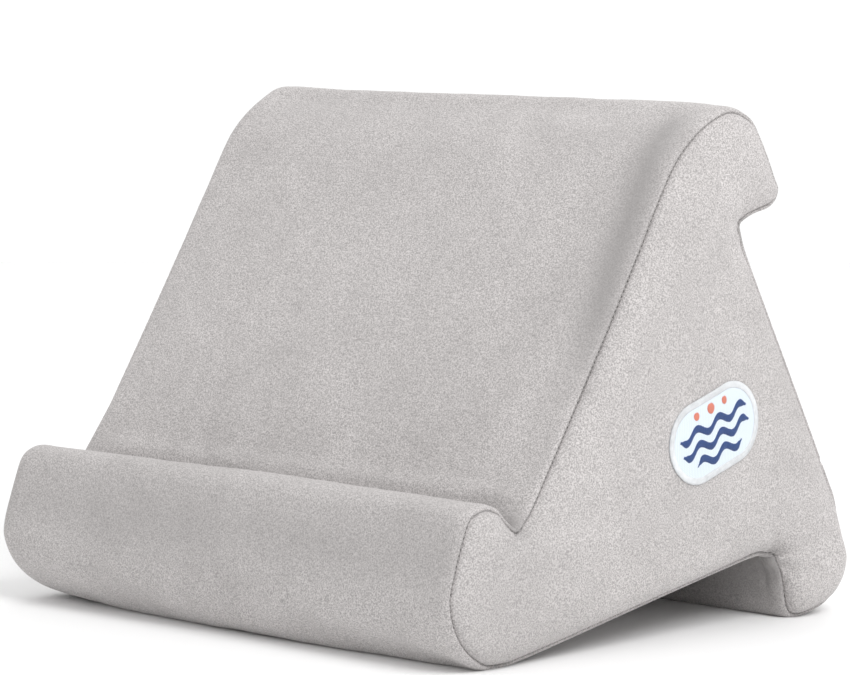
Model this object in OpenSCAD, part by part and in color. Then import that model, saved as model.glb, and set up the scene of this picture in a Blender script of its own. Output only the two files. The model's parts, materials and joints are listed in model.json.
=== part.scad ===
// Soft tablet stand: a foam block in a sewn velvet cover.
// The side outline has three lobes (front roll, rear foot, crown), each ending in a lip over a
// groove, and is the same from side to side. X runs across the stand, +Y to the back, +Z up.
// The origin is on the floor, under the middle of the stand.

/* [Overall] */
// Width over both side panels
stand_w = 278; // [240:1:320]
// Depth from the front of the roll to the back of the foot
stand_d = 243; // [238:1:252]
// Height of the crown
stand_h = 220; // [214:1:228]
// How far the soft undersides flatten on the floor
floor_sag = 0.4; // [0.2:0.1:1]

/* [Front roll] */
// Radius of the roll's belly
roll_r = 30; // [27:0.5:32]
// Height of the roll's top lip
roll_h = 68; // [64:0.5:72]
// Rounding of the top lip
roll_tip_r = 11.5; // [9:0.5:12]
// Distance of the top lip's centre from the front
roll_tip_y = 20; // [18:0.5:22]

/* [Device ledge] */
// Height of the bottom of the ledge groove
ledge_h = 52; // [49:0.5:54]
// Distance of the ledge groove from the front
ledge_y = 38.5; // [37:0.5:40]
// Rounding of the bottom of the ledge groove
ledge_r = 3.5; // [2.5:0.5:5]

/* [Crown] */
// Rounding of the crown towards the rest face
crown_front_r = 51; // [45:0.5:52]
// Rounding of the crown towards the back
crown_back_r = 16.5; // [14:0.5:18]
// Distance of the crown's back rounding from the front
crown_y = 165; // [163:0.5:167]
// Distance of the crown's front rounding from the front
crown_front_y = 171; // [169:0.5:172]
// How much lower the crown is at its front rounding
crown_drop = 1; // [0.5:0.5:2]
// Rounding of the lip that hangs over the back
lip_r = 8; // [7:0.5:9]
// How far the lip's edge stands in front of the back of the foot
lip_setback = 49; // [47:0.5:52]
// Height of the middle of the lip's edge
lip_h = 184; // [182:0.5:186]
// Rounding of the groove under the lip
lip_groove_r = 5; // [4:0.5:6]
// How far the groove lies below the middle of the lip's edge
lip_groove_drop = 16.5; // [15.5:0.5:17.5]
// Distance from the lip's edge to the bottom of its groove
lip_depth = 25; // [22:0.5:28]

/* [Rear foot] */
// Rounding of the back of the foot
heel_r = 22; // [20:0.5:23]
// Height of the middle of that rounding
heel_h = 24; // [22:0.5:26]
// Rounding of the foot's edge that stands on the floor
toe_r = 8; // [7:0.5:9]
// Distance from the back of the foot to the inner side of its toe
foot_l = 39.5; // [38:0.5:41]
// Distance of the notch in front of the foot from the front of the roll
notch_y = 194; // [192:0.5:195]
// Height of the top of the notch
notch_h = 31; // [28:0.5:33]
// Rounding of the notch
notch_r = 6; // [5:0.5:7]

/* [Fabric] */
// Thickness of the velvet cover
cover_t = 1.5; // [1.2:0.1:1.8]
// Thickness of the liner round the foam
liner_t = 0.5; // [0.4:0.1:0.8]
// Room between the cover and the liner, taken up by the seam allowances
liner_gap = 0.8; // [0.7:0.1:1.2]
// Width of a seam's thread line
seam_w = 0.8; // [0.6:0.1:1]
// Depth of a seam's thread line
seam_depth = 0.6; // [0.4:0.1:0.8]

/* [Zip] */
// Length of the zip slot in the back
zip_slot_l = 236; // [200:1:238]
// Width of the zip slot
zip_slot_w = 11; // [10:0.5:12]
// Height of the zip on the back
zip_h = 66; // [60:1:80]
// Width of each tape
tape_w = 13; // [11:0.5:15]
// Thickness of the tapes
tape_t = 0.6; // [0.5:0.1:0.7]
// Radius of each coil
coil_r = 0.9; // [0.8:0.05:1]
// Gap between the two coils
coil_gap = 1.4; // [1.2:0.1:1.6]
// Length of the slider
slider_l = 11; // [9:0.5:13]
// Width of the slider
slider_w = 7.8; // [7.4:0.1:8.2]
// Length of the pull tab
pull_l = 24; // [18:1:28]
// Width of the pull tab
pull_w = 5.6; // [5:0.1:6.5]

/* [Patch] */
// Length of the embroidered patch
patch_l = 56; // [40:1:60]
// Height of the embroidered patch
patch_h = 34; // [26:1:38]
// Thickness of the patch cloth
patch_t = 0.5; // [0.4:0.1:0.6]
// Height of the embroidery over the patch cloth
stitch_t = 0.4; // [0.3:0.1:0.5]
// Width of the patch's satin-stitched border
border_w = 2.6; // [2:0.2:4]
// Slope of the patch along the side, in degrees
patch_tilt = 18; // [0:1:30]
// Distance of the patch's middle from the front
patch_y = 146; // [130:1:160]
// Height of the patch's middle
patch_z = 85; // [75:1:95]

/* [Label] */
// Width of the care label
label_w = 18; // [14:1:24]
// Length of the care label outside the seam
label_l = 27; // [20:1:32]
// Thickness of the folded care label
label_t = 0.8; // [0.6:0.1:1]

/* [Hidden] */

arc_step = 9;                 // largest turn of one facet on the outline, in degrees
band_w = stand_w - 2 * cover_t;
liner_inset = cover_t + liner_gap;
core_inset = liner_inset + liner_t;
reach = 400;                  // longer than anything across the outline
past = 1;                     // how far a cutter runs past what it cuts

velvet = [0.72, 0.70, 0.69];
thread = [0.52, 0.50, 0.49];
foam = [0.93, 0.90, 0.78];
liner_white = [0.94, 0.94, 0.93];
zip_grey = [0.62, 0.61, 0.60];
zip_metal = [0.70, 0.70, 0.72];
patch_white = [0.94, 0.95, 0.97];
patch_navy = [0.08, 0.18, 0.42];
patch_coral = [0.93, 0.55, 0.45];

// The rounded corners of the side outline, anticlockwise: [y from the front, height, radius].
// A negative radius is a hollow corner.
roll_belly = [roll_r, roll_r - floor_sag, roll_r];
foot_notch = [notch_y, notch_h - notch_r, -notch_r];
foot_toe = [stand_d - foot_l + toe_r, toe_r - floor_sag, toe_r];
foot_heel = [stand_d - heel_r, heel_h, heel_r];
lip_groove = [stand_d - lip_setback - lip_depth + lip_groove_r, lip_h - lip_groove_drop, -lip_groove_r];
lip_edge = [stand_d - lip_setback - lip_r, lip_h, lip_r];
crown_back = [crown_y, stand_h - crown_back_r, crown_back_r];
crown_front = [crown_front_y, stand_h - crown_drop - crown_front_r, crown_front_r];
ledge_groove = [ledge_y, ledge_h + ledge_r, -ledge_r];
roll_tip = [roll_tip_y, roll_h - roll_tip_r, roll_tip_r];
corners = [
    ledge_groove, roll_tip, roll_belly, foot_notch, foot_toe,
    foot_heel, lip_groove, lip_edge, crown_back, crown_front
];
LEDGE = 0;                    // places of the hollow corners in the list
NOTCH = 3;
HEEL = 5;
LIP = 6;

// A corner by its place; places past the end go round again.
function corner(i) = corners[(i + len(corners)) % len(corners)];

// Direction of the outward normal of the straight line that touches corner i and the next.
function side_normal(i) =
    let (a = corner(i), b = corner(i + 1))
    atan2(b[1] - a[1], b[0] - a[0]) - acos((a[2] - b[2]) / norm([b[0] - a[0], b[1] - a[1]]));

// How far the outline turns round corner i, negative round a hollow one.
function corner_turn(i) =
    let (turn = (side_normal(i) - side_normal(i - 1)) % 360)
    corner(i)[2] > 0 ? (turn < 0 ? turn + 360 : turn) : (turn > 0 ? turn - 360 : turn);

// Points round corner i, from one part of its turn to another, set in by a distance.
function corner_points(i, inset, from = 0, to = 1) =
    let (
        here = corner(i),
        start = side_normal(i - 1) + from * corner_turn(i),
        turn = (to - from) * corner_turn(i),
        steps = ceil(abs(turn) / arc_step)
    )
    [for (k = [0 : steps]) from_point(here, here[2] - inset, start + turn * k / steps)];

// The closed side outline, set in by a distance.
function outline(inset) = [for (i = [0 : len(corners) - 1]) each corner_points(i, inset)];

// The outline from the middle of hollow corner a to the middle of hollow corner b.
function run_between(a, b, inset) = concat(
    corner_points(a, inset, 0.5, 1),
    [for (i = [a + 1 : b - 1]) each corner_points(i, inset)],
    corner_points(b, inset, 0, 0.5)
);

// A point some way from another, in a direction in degrees.
function from_point(point, distance, direction) =
    [point[0] + distance * cos(direction), point[1] + distance * sin(direction)];

function reversed(list) = [for (k = [len(list) - 1 : -1 : 0]) list[k]];

// Sizes of the zip's small parts, with heights over the back.
tape_clearance = 0.3;
coil_l = zip_slot_l - 12;
stop_l = 2.4;
stop_t = 1.6;
plate_t = 1;
plate_gap = 0.5;              // room between a slider plate and the coil or tape
slider_room = 2;              // room round the slider in the hollow behind the zip
top_plate_z = 2 * coil_r - cover_t + plate_gap;
bottom_plate_z = -cover_t - tape_t - plate_gap - plate_t;
lug_w = 2;
lug_h = 1.3;
pivot_z = top_plate_z + plate_t + lug_h;
pin_r = 0.55;
eye_r = 0.85;                 // the lug's eye, with room for the pin
slider_x = coil_l / 2 - slider_l / 2 - 1;  // at the closed end, just inside the top stops

// The zip lies on the straight back between the heel and the lip's groove.
back_normal = side_normal(HEEL);
heel_edge = from_point(foot_heel, heel_r, back_normal);
zip_point = [heel_edge[0] - (zip_h - heel_edge[1]) * tan(back_normal), zip_h];

module outline_2d(inset) {
    intersection() {
        polygon(outline(inset));
        translate([(stand_d - reach) / 2, 0])
            square(reach);
    }
}

// Runs a side outline across the stand, centred, with the front at -stand_d / 2.
module across(width) {
    translate([-width / 2, -stand_d / 2, 0])
        rotate([90, 0, 90])
            linear_extrude(width)
                children();
}

// The line at the bottom of hollow corner i, where two pieces of the band are sewn together.
module seam_line(i) {
    here = corner(i);
    translate([here[0], here[1]])
        rotate(side_normal(i - 1) + corner_turn(i) / 2 + 180)
            translate([0, -seam_w / 2])
                square([cover_t + past - here[2], seam_w]);
}

// One piece of the band round the core, from its outer points and its inner points.
module band_piece(outer, inner) {
    color(velvet)
        across(band_w)
            difference() {
                intersection() {
                    polygon(concat(outer, reversed(inner)));
                    outline_2d(0);
                }
                for (i = [LEDGE, NOTCH, LIP])
                    seam_line(i);
            }
}

// Places things made on the zip: X along it, Y down the slope, Z out of the back.
module on_back() {
    translate([0, zip_point[0] - stand_d / 2, zip_point[1]])
        rotate([back_normal - 90, 0, 0])
            children();
}

module zip_slot() {
    on_back()
        translate([0, 0, -cover_t / 2])
            cube([zip_slot_l, zip_slot_w, cover_t + 2 * past], center = true);
}

// The hollow pressed into the liner and foam behind the zip and its slider.
module zip_bed(extra) {
    bed_w = slider_w + 2 * (slider_room + extra);
    bed_depth = slider_room + extra - bottom_plate_z;
    on_back()
        translate([-zip_slot_l / 2 - extra, -bed_w / 2, -bed_depth])
            cube([zip_slot_l + 2 * extra, bed_w, bed_depth]);
}

module foam_core() {
    color(foam)
        difference() {
            across(stand_w - 2 * core_inset)
                outline_2d(core_inset);
            zip_bed(liner_t);
        }
}

module core_liner() {
    color(liner_white)
        difference() {
            across(stand_w - 2 * liner_inset)
                outline_2d(liner_inset);
            difference() {
                across(stand_w - 2 * core_inset)
                    outline_2d(core_inset);
                zip_bed(liner_t);
            }
            zip_bed(0);
        }
}

// A side panel has a step round its inner edge, where the seam's thread lies.
module side_panel(side) {
    color(velvet) {
        translate([side * (stand_w / 2 - (cover_t - seam_w) / 2), 0, 0])
            across(cover_t - seam_w)
                outline_2d(0);
        translate([side * (band_w / 2 + seam_w / 2), 0, 0])
            across(seam_w)
                outline_2d(seam_depth);
    }
}

module side_panel_left() {
    side_panel(-1);
}

module side_panel_right() {
    side_panel(1);
}

module rest_face_panel() {
    next_ledge = LEDGE + len(corners);
    band_piece(run_between(LIP, next_ledge, 0), run_between(LIP, next_ledge, cover_t));
}

module front_roll_panel() {
    band_piece(run_between(LEDGE, NOTCH, 0), run_between(LEDGE, NOTCH, cover_t));
}

module rear_foot_panel() {
    function run(inset) = concat(
        corner_points(NOTCH, inset, 0.5, 1),
        [for (i = [NOTCH + 1 : HEEL]) each corner_points(i, inset)],
        [from_point(zip_point, -inset, back_normal)]
    );
    difference() {
        band_piece(run(0), run(cover_t));
        zip_slot();
    }
}

module back_panel() {
    function run(inset) = concat(
        [from_point(zip_point, -inset, back_normal)],
        corner_points(LIP, inset, 0, 0.5)
    );
    difference() {
        band_piece(run(0), run(cover_t));
        zip_slot();
    }
}

module side_stitching(side) {
    color(thread)
        translate([side * (band_w / 2 + seam_w / 2), 0, 0])
            across(seam_w)
                difference() {
                    outline_2d(0);
                    outline_2d(seam_depth);
                }
}

module side_stitching_left() {
    side_stitching(-1);
}

module side_stitching_right() {
    side_stitching(1);
}

module groove_stitching(i) {
    color(thread)
        across(band_w)
            intersection() {
                difference() {
                    outline_2d(seam_depth);
                    outline_2d(cover_t);
                }
                seam_line(i);
            }
}

module ledge_groove_stitching() {
    groove_stitching(LEDGE);
}

module lip_groove_stitching() {
    groove_stitching(LIP);
}

module foot_notch_stitching() {
    groove_stitching(NOTCH);
}

// A tape lies under the cover; side is -1 for the upper one and 1 for the lower one.
module zip_tape(side) {
    edge = coil_gap / 2 + tape_clearance;
    color(zip_grey)
        on_back()
            translate([0, side * (edge + tape_w / 2), -cover_t - tape_t / 2])
                cube([zip_slot_l - 2 * tape_clearance, tape_w, tape_t], center = true);
}

module zip_tape_upper() {
    zip_tape(-1);
}

module zip_tape_lower() {
    zip_tape(1);
}

module zip_coil(side) {
    color(zip_grey)
        on_back()
            translate([-coil_l / 2, side * (coil_gap / 2 + coil_r), coil_r - cover_t])
                rotate([0, 90, 0])
                    cylinder(h = coil_l, r = coil_r, $fn = 32);
}

module zip_coil_upper() {
    zip_coil(-1);
}

module zip_coil_lower() {
    zip_coil(1);
}

// One small clamp on each tape, past the closed end of the coils.
module zip_top_stops() {
    color(zip_metal)
        on_back()
            for (side = [-1, 1])
                translate([coil_l / 2, side * (coil_gap / 2 + coil_r) - stop_t / 2, -cover_t])
                    cube([stop_l, stop_t, stop_t]);
}

// One clamp across both tapes, past the open end.
module zip_bottom_stop() {
    width = coil_gap + 4 * coil_r;
    color(zip_metal)
        on_back()
            translate([-coil_l / 2 - stop_l, -width / 2, -cover_t])
                cube([stop_l, width, stop_t]);
}

// A line of thread round the slot, a little way from its edge.
module zip_topstitching() {
    margin = 2;
    thread_h = 0.3;
    module border(away) {
        square([zip_slot_l + 2 * away, zip_slot_w + 2 * away], center = true);
    }
    color(thread)
        on_back()
            linear_extrude(thread_h)
                difference() {
                    border(margin + seam_w / 2);
                    border(margin - seam_w / 2);
                }
}

// A slider plate: a round shield cut to the slider's width.
module slider_plate(height) {
    corner_relief = 0.6;
    translate([0, 0, height])
        intersection() {
            translate([-slider_l / 2, -slider_w / 2, 0])
                cube([slider_l, slider_w, plate_t]);
            cylinder(h = plate_t, r = slider_l / 2 + corner_relief, $fn = 64);
        }
}

// A rod across the zip, round the pull tab's axis.
module cross_rod(length, radius) {
    rotate([90, 0, 0])
        cylinder(h = length, r = radius, center = true, $fn = 48);
}

module zip_slider() {
    flange_l = 6;
    flange_t = 0.8;
    flange_h = 1.6;
    post_x = 1;
    post_l = 3;
    post_w = 0.6;
    lug_r = 2;
    color(zip_metal)
        on_back()
            translate([slider_x, 0, 0])
                difference() {
                    union() {
                        slider_plate(top_plate_z);
                        slider_plate(bottom_plate_z);
                        for (side = [-1, 1])
                            translate([0, side * (slider_w - flange_t) / 2, top_plate_z - flange_h / 2])
                                cube([flange_l, flange_t, flange_h], center = true);
                        translate([post_x, -post_w / 2, bottom_plate_z])
                            cube([post_l, post_w, top_plate_z + plate_t - bottom_plate_z]);
                        translate([-lug_r, -lug_w / 2, top_plate_z + plate_t])
                            cube([2 * lug_r, lug_w, lug_h]);
                        translate([0, 0, pivot_z])
                            cross_rod(lug_w, lug_r);
                    }
                    translate([0, 0, pivot_z])
                        cross_rod(lug_w + 2 * past, eye_r);
                }
}

// The tab hangs on its pin, straddles the lug and lies along the closed coils.
module zip_pull_tab() {
    tab_t = 1.1;
    droop = 4;
    fork_l = 3;
    fork_gap = lug_w + 0.8;
    rim_w = 1.4;
    tip_x = pull_w / 2 - pull_l;
    color(zip_metal)
        on_back()
            translate([slider_x, 0, pivot_z])
                rotate([0, -droop, 0]) {
                    cross_rod(pull_w, pin_r);
                    translate([0, 0, -tab_t / 2])
                        linear_extrude(tab_t)
                            difference() {
                                union() {
                                    translate([tip_x, -pull_w / 2])
                                        square([-tip_x, pull_w]);
                                    translate([tip_x, 0])
                                        circle(d = pull_w, $fn = 48);
                                }
                                square([2 * fork_l, fork_gap], center = true);
                                translate([tip_x, 0])
                                    circle(d = pull_w - 2 * rim_w, $fn = 32);
                            }
                }
}

// The label is caught in the left side seam on the back and lies on the side panel.
module care_label() {
    label_z = 118;
    seam_edge = 1;
    edge_y = zip_point[0] - (label_z - zip_point[1]) * tan(back_normal);
    color(patch_white)
        translate([-stand_w / 2 - label_t, edge_y - stand_d / 2, label_z])
            rotate([back_normal, 0, 0])
                translate([0, -label_l - seam_edge, -label_w / 2])
                    cube([label_t, label_l, label_w]);
}

// Places flat patch pieces on the right side panel, at a height over the panel.
module on_patch(height, thickness) {
    translate([stand_w / 2 + height, patch_y - stand_d / 2, patch_z])
        rotate([90, 0, 90])
            rotate(patch_tilt)
                linear_extrude(thickness)
                    children();
}

// A straight-sided oval, inset from the patch's edge.
module patch_shape(inset) {
    radius = patch_h / 2 - inset;
    straight = patch_l - patch_h;
    square([straight, 2 * radius], center = true);
    for (side = [-1, 1])
        translate([side * straight / 2, 0])
            circle(r = radius, $fn = 96);
}

module patch_cloth() {
    color(patch_white)
        on_patch(0, patch_t)
            patch_shape(0);
}

module patch_border() {
    color(patch_white)
        on_patch(patch_t, stitch_t)
            difference() {
                patch_shape(0);
                patch_shape(border_w);
            }
}

// A wavy band with a number of whole waves, centred on its own middle line.
module wave(waves) {
    wave_l = patch_l / 4;
    wave_h = patch_h / 19;
    half_w = patch_h / 23;
    steps_each = 8;
    steps = steps_each * waves;
    function crest(k, side) =
        [(k / steps - 0.5) * waves * wave_l, wave_h * sin(360 * k / steps_each) + side * half_w];
    upper = [for (k = [0 : steps]) crest(k, 1)];
    lower = [for (k = [steps : -1 : 0]) crest(k, -1)];
    polygon(concat(upper, lower));
}

module patch_waves() {
    spacing = patch_h / 5.2;
    drop = patch_h / 14;
    color(patch_navy)
        on_patch(patch_t, stitch_t)
            for (row = [-1 : 1])
                translate([0, row * spacing - drop])
                    wave(row < 0 ? 2 : 3);
}

module patch_dots() {
    spacing = patch_l / 6.2;
    height = patch_h / 3.1;
    small_r = patch_h / 21;
    large_r = patch_h / 15.5;
    color(patch_coral)
        on_patch(patch_t, stitch_t)
            for (k = [-1 : 1])
                translate([k * spacing, height])
                    circle(r = k == 0 ? large_r : small_r, $fn = 32);
}

foam_core();
core_liner();
side_panel_left();
side_panel_right();
rest_face_panel();
front_roll_panel();
rear_foot_panel();
back_panel();
side_stitching_left();
side_stitching_right();
ledge_groove_stitching();
lip_groove_stitching();
foot_notch_stitching();
zip_tape_upper();
zip_tape_lower();
zip_coil_upper();
zip_coil_lower();
zip_top_stops();
zip_bottom_stop();
zip_topstitching();
zip_slider();
zip_pull_tab();
care_label();
patch_cloth();
patch_border();
patch_waves();
patch_dots();
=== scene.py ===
"""Visual model of the soft tablet stand: a foam block in a zipped velvet cover.

Everything is in the row frame, in metres: X across the stand with the patch on the +X side,
+Y from the front roll to the back, +Z up. Places are measured from the CAD nodes.
"""

import json
import math

import bpy
import numpy as np
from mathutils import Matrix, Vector, geometry, kdtree, noise
from mathutils.bvhtree import BVHTree


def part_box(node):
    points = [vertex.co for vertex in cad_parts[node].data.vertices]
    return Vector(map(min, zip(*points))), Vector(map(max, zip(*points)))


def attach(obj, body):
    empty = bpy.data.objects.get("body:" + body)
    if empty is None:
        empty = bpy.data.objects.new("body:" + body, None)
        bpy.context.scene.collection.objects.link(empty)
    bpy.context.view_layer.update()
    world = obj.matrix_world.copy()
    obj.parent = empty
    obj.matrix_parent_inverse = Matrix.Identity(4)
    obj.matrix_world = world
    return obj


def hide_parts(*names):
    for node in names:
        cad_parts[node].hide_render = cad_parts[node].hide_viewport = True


MM = 0.001

# Below, a name that ends in _W, _L or _REACH says how far a shape spreads, _S is a place along the
# side outline, counted from the ledge groove down round the roll, and _X is a distance across.

# The cover
ROW_STEP = 1.1 * MM            # spacing of mesh rows along the side outline
OUTLINE_STEP = 0.5 * MM        # spacing of the outline's own points
OUTLINE_SOFTNESS = 1.6 * MM    # how far fabric smooths the outline's corners
SEAM_X = 137.0 * MM            # distance of a side seam from the middle
BAND_DROP = 0.9 * MM           # how far the seam lies below the band
BAND_REACH = 4.5 * MM          # how far from the seam the band starts to sink
SIDE_RISE = 3.6 * MM           # how far a side panel's edge turns out past the seam
SIDE_REACH = 8.5 * MM          # how far from the seam that turn ends
SIDE_BULGE = 2.4 * MM          # how far a side panel's middle stands out from its edge
SIDE_BULGE_REACH = 24 * MM
SEAM_VALLEY = 0.38 * MM
SEAM_VALLEY_W = 0.65 * MM
FACE_TUCK = 2.4 * MM           # how far a side panel is drawn round onto the rest face
FACE_TUCK_S = -82 * MM         # where along the outline that is the most
FACE_TUCK_W = 62 * MM
UNDER_TUCK = 3.4 * MM          # how far it is drawn round onto the underside and the foot
UNDER_START = (-12 * MM, 8 * MM)   # where that fades in, from the roll's lowest place
UNDER_END = (-40 * MM, -14 * MM)   # and out, from the zip
BRIDGES = (3.4 * MM, 3.8 * MM, 1.4 * MM)  # how much shallower each groove is at the side seams
BRIDGE_W = 8 * MM
BRIDGE_REACH = 8 * MM
PUCKERS = (0.4 * MM, 0.9 * MM, 0.45 * MM)  # height of the creases that run out of each groove
PUCKER_REACH = 9 * MM          # how far in from the seams they fade
PUCKER_CLEAR = 1.5 * MM
PUCKER_L = 14 * MM             # how far round the outline they fade
PUCKER_STEP = 3.1 * MM         # 1 / 2 pi of the distance from crease to crease
PUCKER_SWAY = 2.2
PUCKER_SWAY_L = 9 * MM
GATHERS = (6, 7, 7)                       # creases round each groove's end on a side panel
GATHER_H = (1.8 * MM, 2.6 * MM, 1.0 * MM)
GATHER_REACH = (9 * MM, 7 * MM, 9 * MM)
GATHER_CLEAR = 0.9 * MM        # how close to the seam they start
GATHER_TURN = 0.6              # how much the two sides' creases are turned, each the other way
DIMPLES = (1.2 * MM, 2.6 * MM, 0.9 * MM)   # how far a side panel sinks at each groove's end
DIMPLE_REACH = 9 * MM
SLACK_FOLD = 1.5 * MM          # height of the slack fold across the rest face, over the ledge
SLACK_FOLD_S = -17 * MM
SLACK_FOLD_W = 5 * MM
SLACK_FOLD_END = 9 * MM        # how close to the side seams it runs
HOLLOW = 1.1 * MM              # depth of the hollow along the right side of the upper rest face
HOLLOW_W = 8 * MM
HOLLOW_X = 25 * MM             # how far from the seam it starts, at the crown
HOLLOW_SLANT = 0.14            # and how fast it comes nearer
HOLLOW_START = (0, 30 * MM)    # where it fades in, down from the crown
HOLLOW_END = (90 * MM, 170 * MM)   # and out
FOOT_WALL = 12 * MM            # the middle of the foot's inner wall, from the notch
FOOT_CREASE = 1.3 * MM         # depth of the crease beside each seam on that wall
FOOT_CREASE_X = 8 * MM
FOOT_CREASE_W = 1.5 * MM
FOOT_CREASE_L = 11 * MM
SIDE_SPACING = 1.6 * MM        # spacing of a side panel's mesh away from its seam
SIDE_RINGS = (0, 0.12, 0.3, 0.55, 0.9, 1.4, 2.0, 2.9, 4.0, 5.5)  # in mm, in from its seam
GROOVE_PULL = 1.3 * MM         # how far a groove's seam is pulled in
GROOVE_PULL_W = 2.2 * MM
FACE_CROWN = 1.9 * MM          # bulge of a long flat face between its corners
FACE_BLUR = 5 * MM             # how gradually it starts
CROWN_REACH = 28 * MM          # how far from the side seams it is full
FLAT_R = 160 * MM              # a face counts as flat if it bends less than this
SHORT_FACE = 35 * MM           # a flat face shorter than this has no bulge
LONG_FACE = 130 * MM           # and one longer than this has all of it
BACK_FLAT = 22 * MM            # how far from the zip the back is held flat
LOBE_R = 30 * MM               # a lobe counts fully if it bends more than this
LOBE_BLUR = 9 * MM
LEVEL = 0.97                   # how straight up or down the normal is on a lobe's top or base
NEAR_DROOP = 3.6 * MM          # how far the top of a lobe sinks towards the right side seam
FAR_DROOP = 1.2 * MM           # and towards the left one
NEAR_LIFT = 0.3 * MM           # how far the underside of a lobe rises towards the right side seam
FAR_LIFT = 5.0 * MM            # and towards the left one
ROLL_DROOP = 3.2 * MM          # how much further the roll's left end sinks
ROLL_DROOP_W = 35 * MM
LOBE_SIDE = 1.2                # how soon a lobe's front counts as its top or underside
LOBE_END_REACH = 28 * MM
LOBE_SAG = 4.4 * MM            # how far the top of a lobe sinks between its ends
LOBE_SAG_REACH = 22 * MM
SIDES_BLEND = 50 * MM          # how gradually the right end's shape becomes the left end's
LUMP = 0.55 * MM               # height of the uneven filling in the band, and its size
LUMP_L = 42 * MM
SIDE_LUMP = 0.7 * MM           # the same in a side panel
SIDE_LUMP_L = 38 * MM
RIPPLE = 0.16 * MM             # height and size of the cloth's own small waves
RIPPLE_L = 11 * MM
RIPPLE_CLEAR = 2 * MM          # how close to a side panel's seam they start
BAND_FREE_REACH = 12 * MM      # how far from a seam the cover is free to be uneven
SIDE_FREE_REACH = 14 * MM
ZIP_HELD_REACH = 20 * MM       # and how far from the zip
COVER_T = 1.5 * MM
LINER_INSET = 2.6 * MM
LINER_T = 0.5 * MM
CORE_INSET = 3.3 * MM

# The cover's mesh
COLUMN_FINEST = 0.35 * MM
COLUMN_WIDEST = 2.6 * MM
COLUMN_GROWTH = 0.22           # spacing of columns as a share of the distance to a seam

# The simulation of the filled cover
SIM_SPACING = 4.6 * MM
SIM_FRAMES = 16
SIM_CAP = 3 * MM               # the furthest that it may move the cloth
SIM_HELD_GROOVE = 5 * MM       # how far from a groove the cloth is held
SIM_HELD_ZIP = 14 * MM
SIM_HELD_FLOOR = 1.2 * MM      # below this height it is held
SIM_NEIGHBOURS = 7
SIM_REACH = 4 * MM
CLOTH = {
    "quality": 5,
    "mass": 0.25,
    "tension_stiffness": 40,
    "compression_stiffness": 20,
    "shear_stiffness": 8,
    "bending_stiffness": 0.6,
    "use_pressure": True,
    "uniform_pressure_force": 2.0,
    "vertex_group_mass": "held",
}

# Painted shade on the velvet, from 0 to 1: darker where shade falls in the grooves, hollows and under
# the roll
PAINTED_SHADE_GROOVE = 0.8
PAINTED_SHADE_GROOVE_W = 9 * MM
PAINTED_SHADE_HOLLOW = 0.85              # beside the right seam of the upper rest face
PAINTED_SHADE_HOLLOW_X = 21 * MM
PAINTED_SHADE_HOLLOW_SLANT = 0.12
PAINTED_SHADE_HOLLOW_W = 12 * MM
PAINTED_SHADE_HOLLOW_START = (5 * MM, 25 * MM)
PAINTED_SHADE_HOLLOW_END = (100 * MM, 170 * MM)
PAINTED_SHADE_ROLL = 0.45                # on the roll's front
PAINTED_SHADE_ROLL_W = 20 * MM
PAINTED_SHADE_FOOT = 0.7                 # on the foot's inner wall
PAINTED_SHADE_FOOT_W = 15 * MM
PAINTED_SHADE_SIDE = 0.36                # on a side panel, over the roll
PAINTED_SHADE_SIDE_W = 44 * MM
PAINTED_SHADE_GATHER = 0.55              # on a side panel, at each groove's end
PAINTED_SHADE_GATHER_W = 4 * MM

# The zip
SLOT_L = 236 * MM
SLOT_W = 11 * MM
SLOT_CORNER_R = 3 * MM
HEM_REACH = 16 * MM            # how far from the slot the cover's rows are moved to make room
HEM_DROP = 0.7 * MM            # how far the cover's edge is rolled in along the slot
HEM_W = 0.8 * MM
SLOT_END_DROP = 0.8 * MM       # how far the seam past the slot's ends lies in
SLOT_END_W = 1.2 * MM
TOP_STITCH_AWAY = 2 * MM       # how far from the slot the top-stitching runs
TOP_STITCH_SINK = 0.45 * MM    # and how far it pulls the cover in
TOP_STITCH_W = 0.7 * MM
COIL_L = 224 * MM
COIL_R = 0.9 * MM
COIL_GAP = 1.4 * MM
PIVOT_OUT = 3.1 * MM           # height of the pull tab's pin over the cover
BED_W = 18 * MM                # how wide and deep the foam is pressed in behind the zip
BED_DEPTH = 3.6 * MM

# Stitches
SEAM_PITCH = 2.3 * MM
GROOVE_PITCH = 3 * MM
TOP_PITCH = 2.8 * MM
THREAD_R = 0.28 * MM
STITCH_SHARE = 0.74            # length of a stitch as a share of the pitch
STITCH_POINTS = 7
SEAM_STITCH_RISE = 0.46 * MM   # height of a stitch from its ends to its middle
TOP_STITCH_RISE = 0.5 * MM
TOP_STITCH_BED = 0.12 * MM     # how far the top-stitches are pressed into the cover

# The patch
PATCH_L = 56 * MM
PATCH_H = 34 * MM
PATCH_TILT = math.radians(18)
BORDER_W = 2.6 * MM
PATCH_T = 0.5 * MM
PATCH_RINGS = 24
PATCH_ROUND = 180              # mesh points round the patch
BORDER_THREADS = 340
THREAD_STEP = 0.36 * MM        # distance from thread to thread in the embroidery
SATIN_R = 0.21 * MM
SATIN_RISE = 0.35 * MM         # height of a thread's middle over its ends
SATIN_BED = 0.12 * MM          # how far the ends are pressed into the twill
SATIN_JITTER = 0.03 * MM       # how uneven the threads' heights are

# The white card behind the stand
BACKDROP_AWAY = 2.0
BACKDROP_HALF_W = 0.8
BACKDROP_H = 0.5

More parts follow.
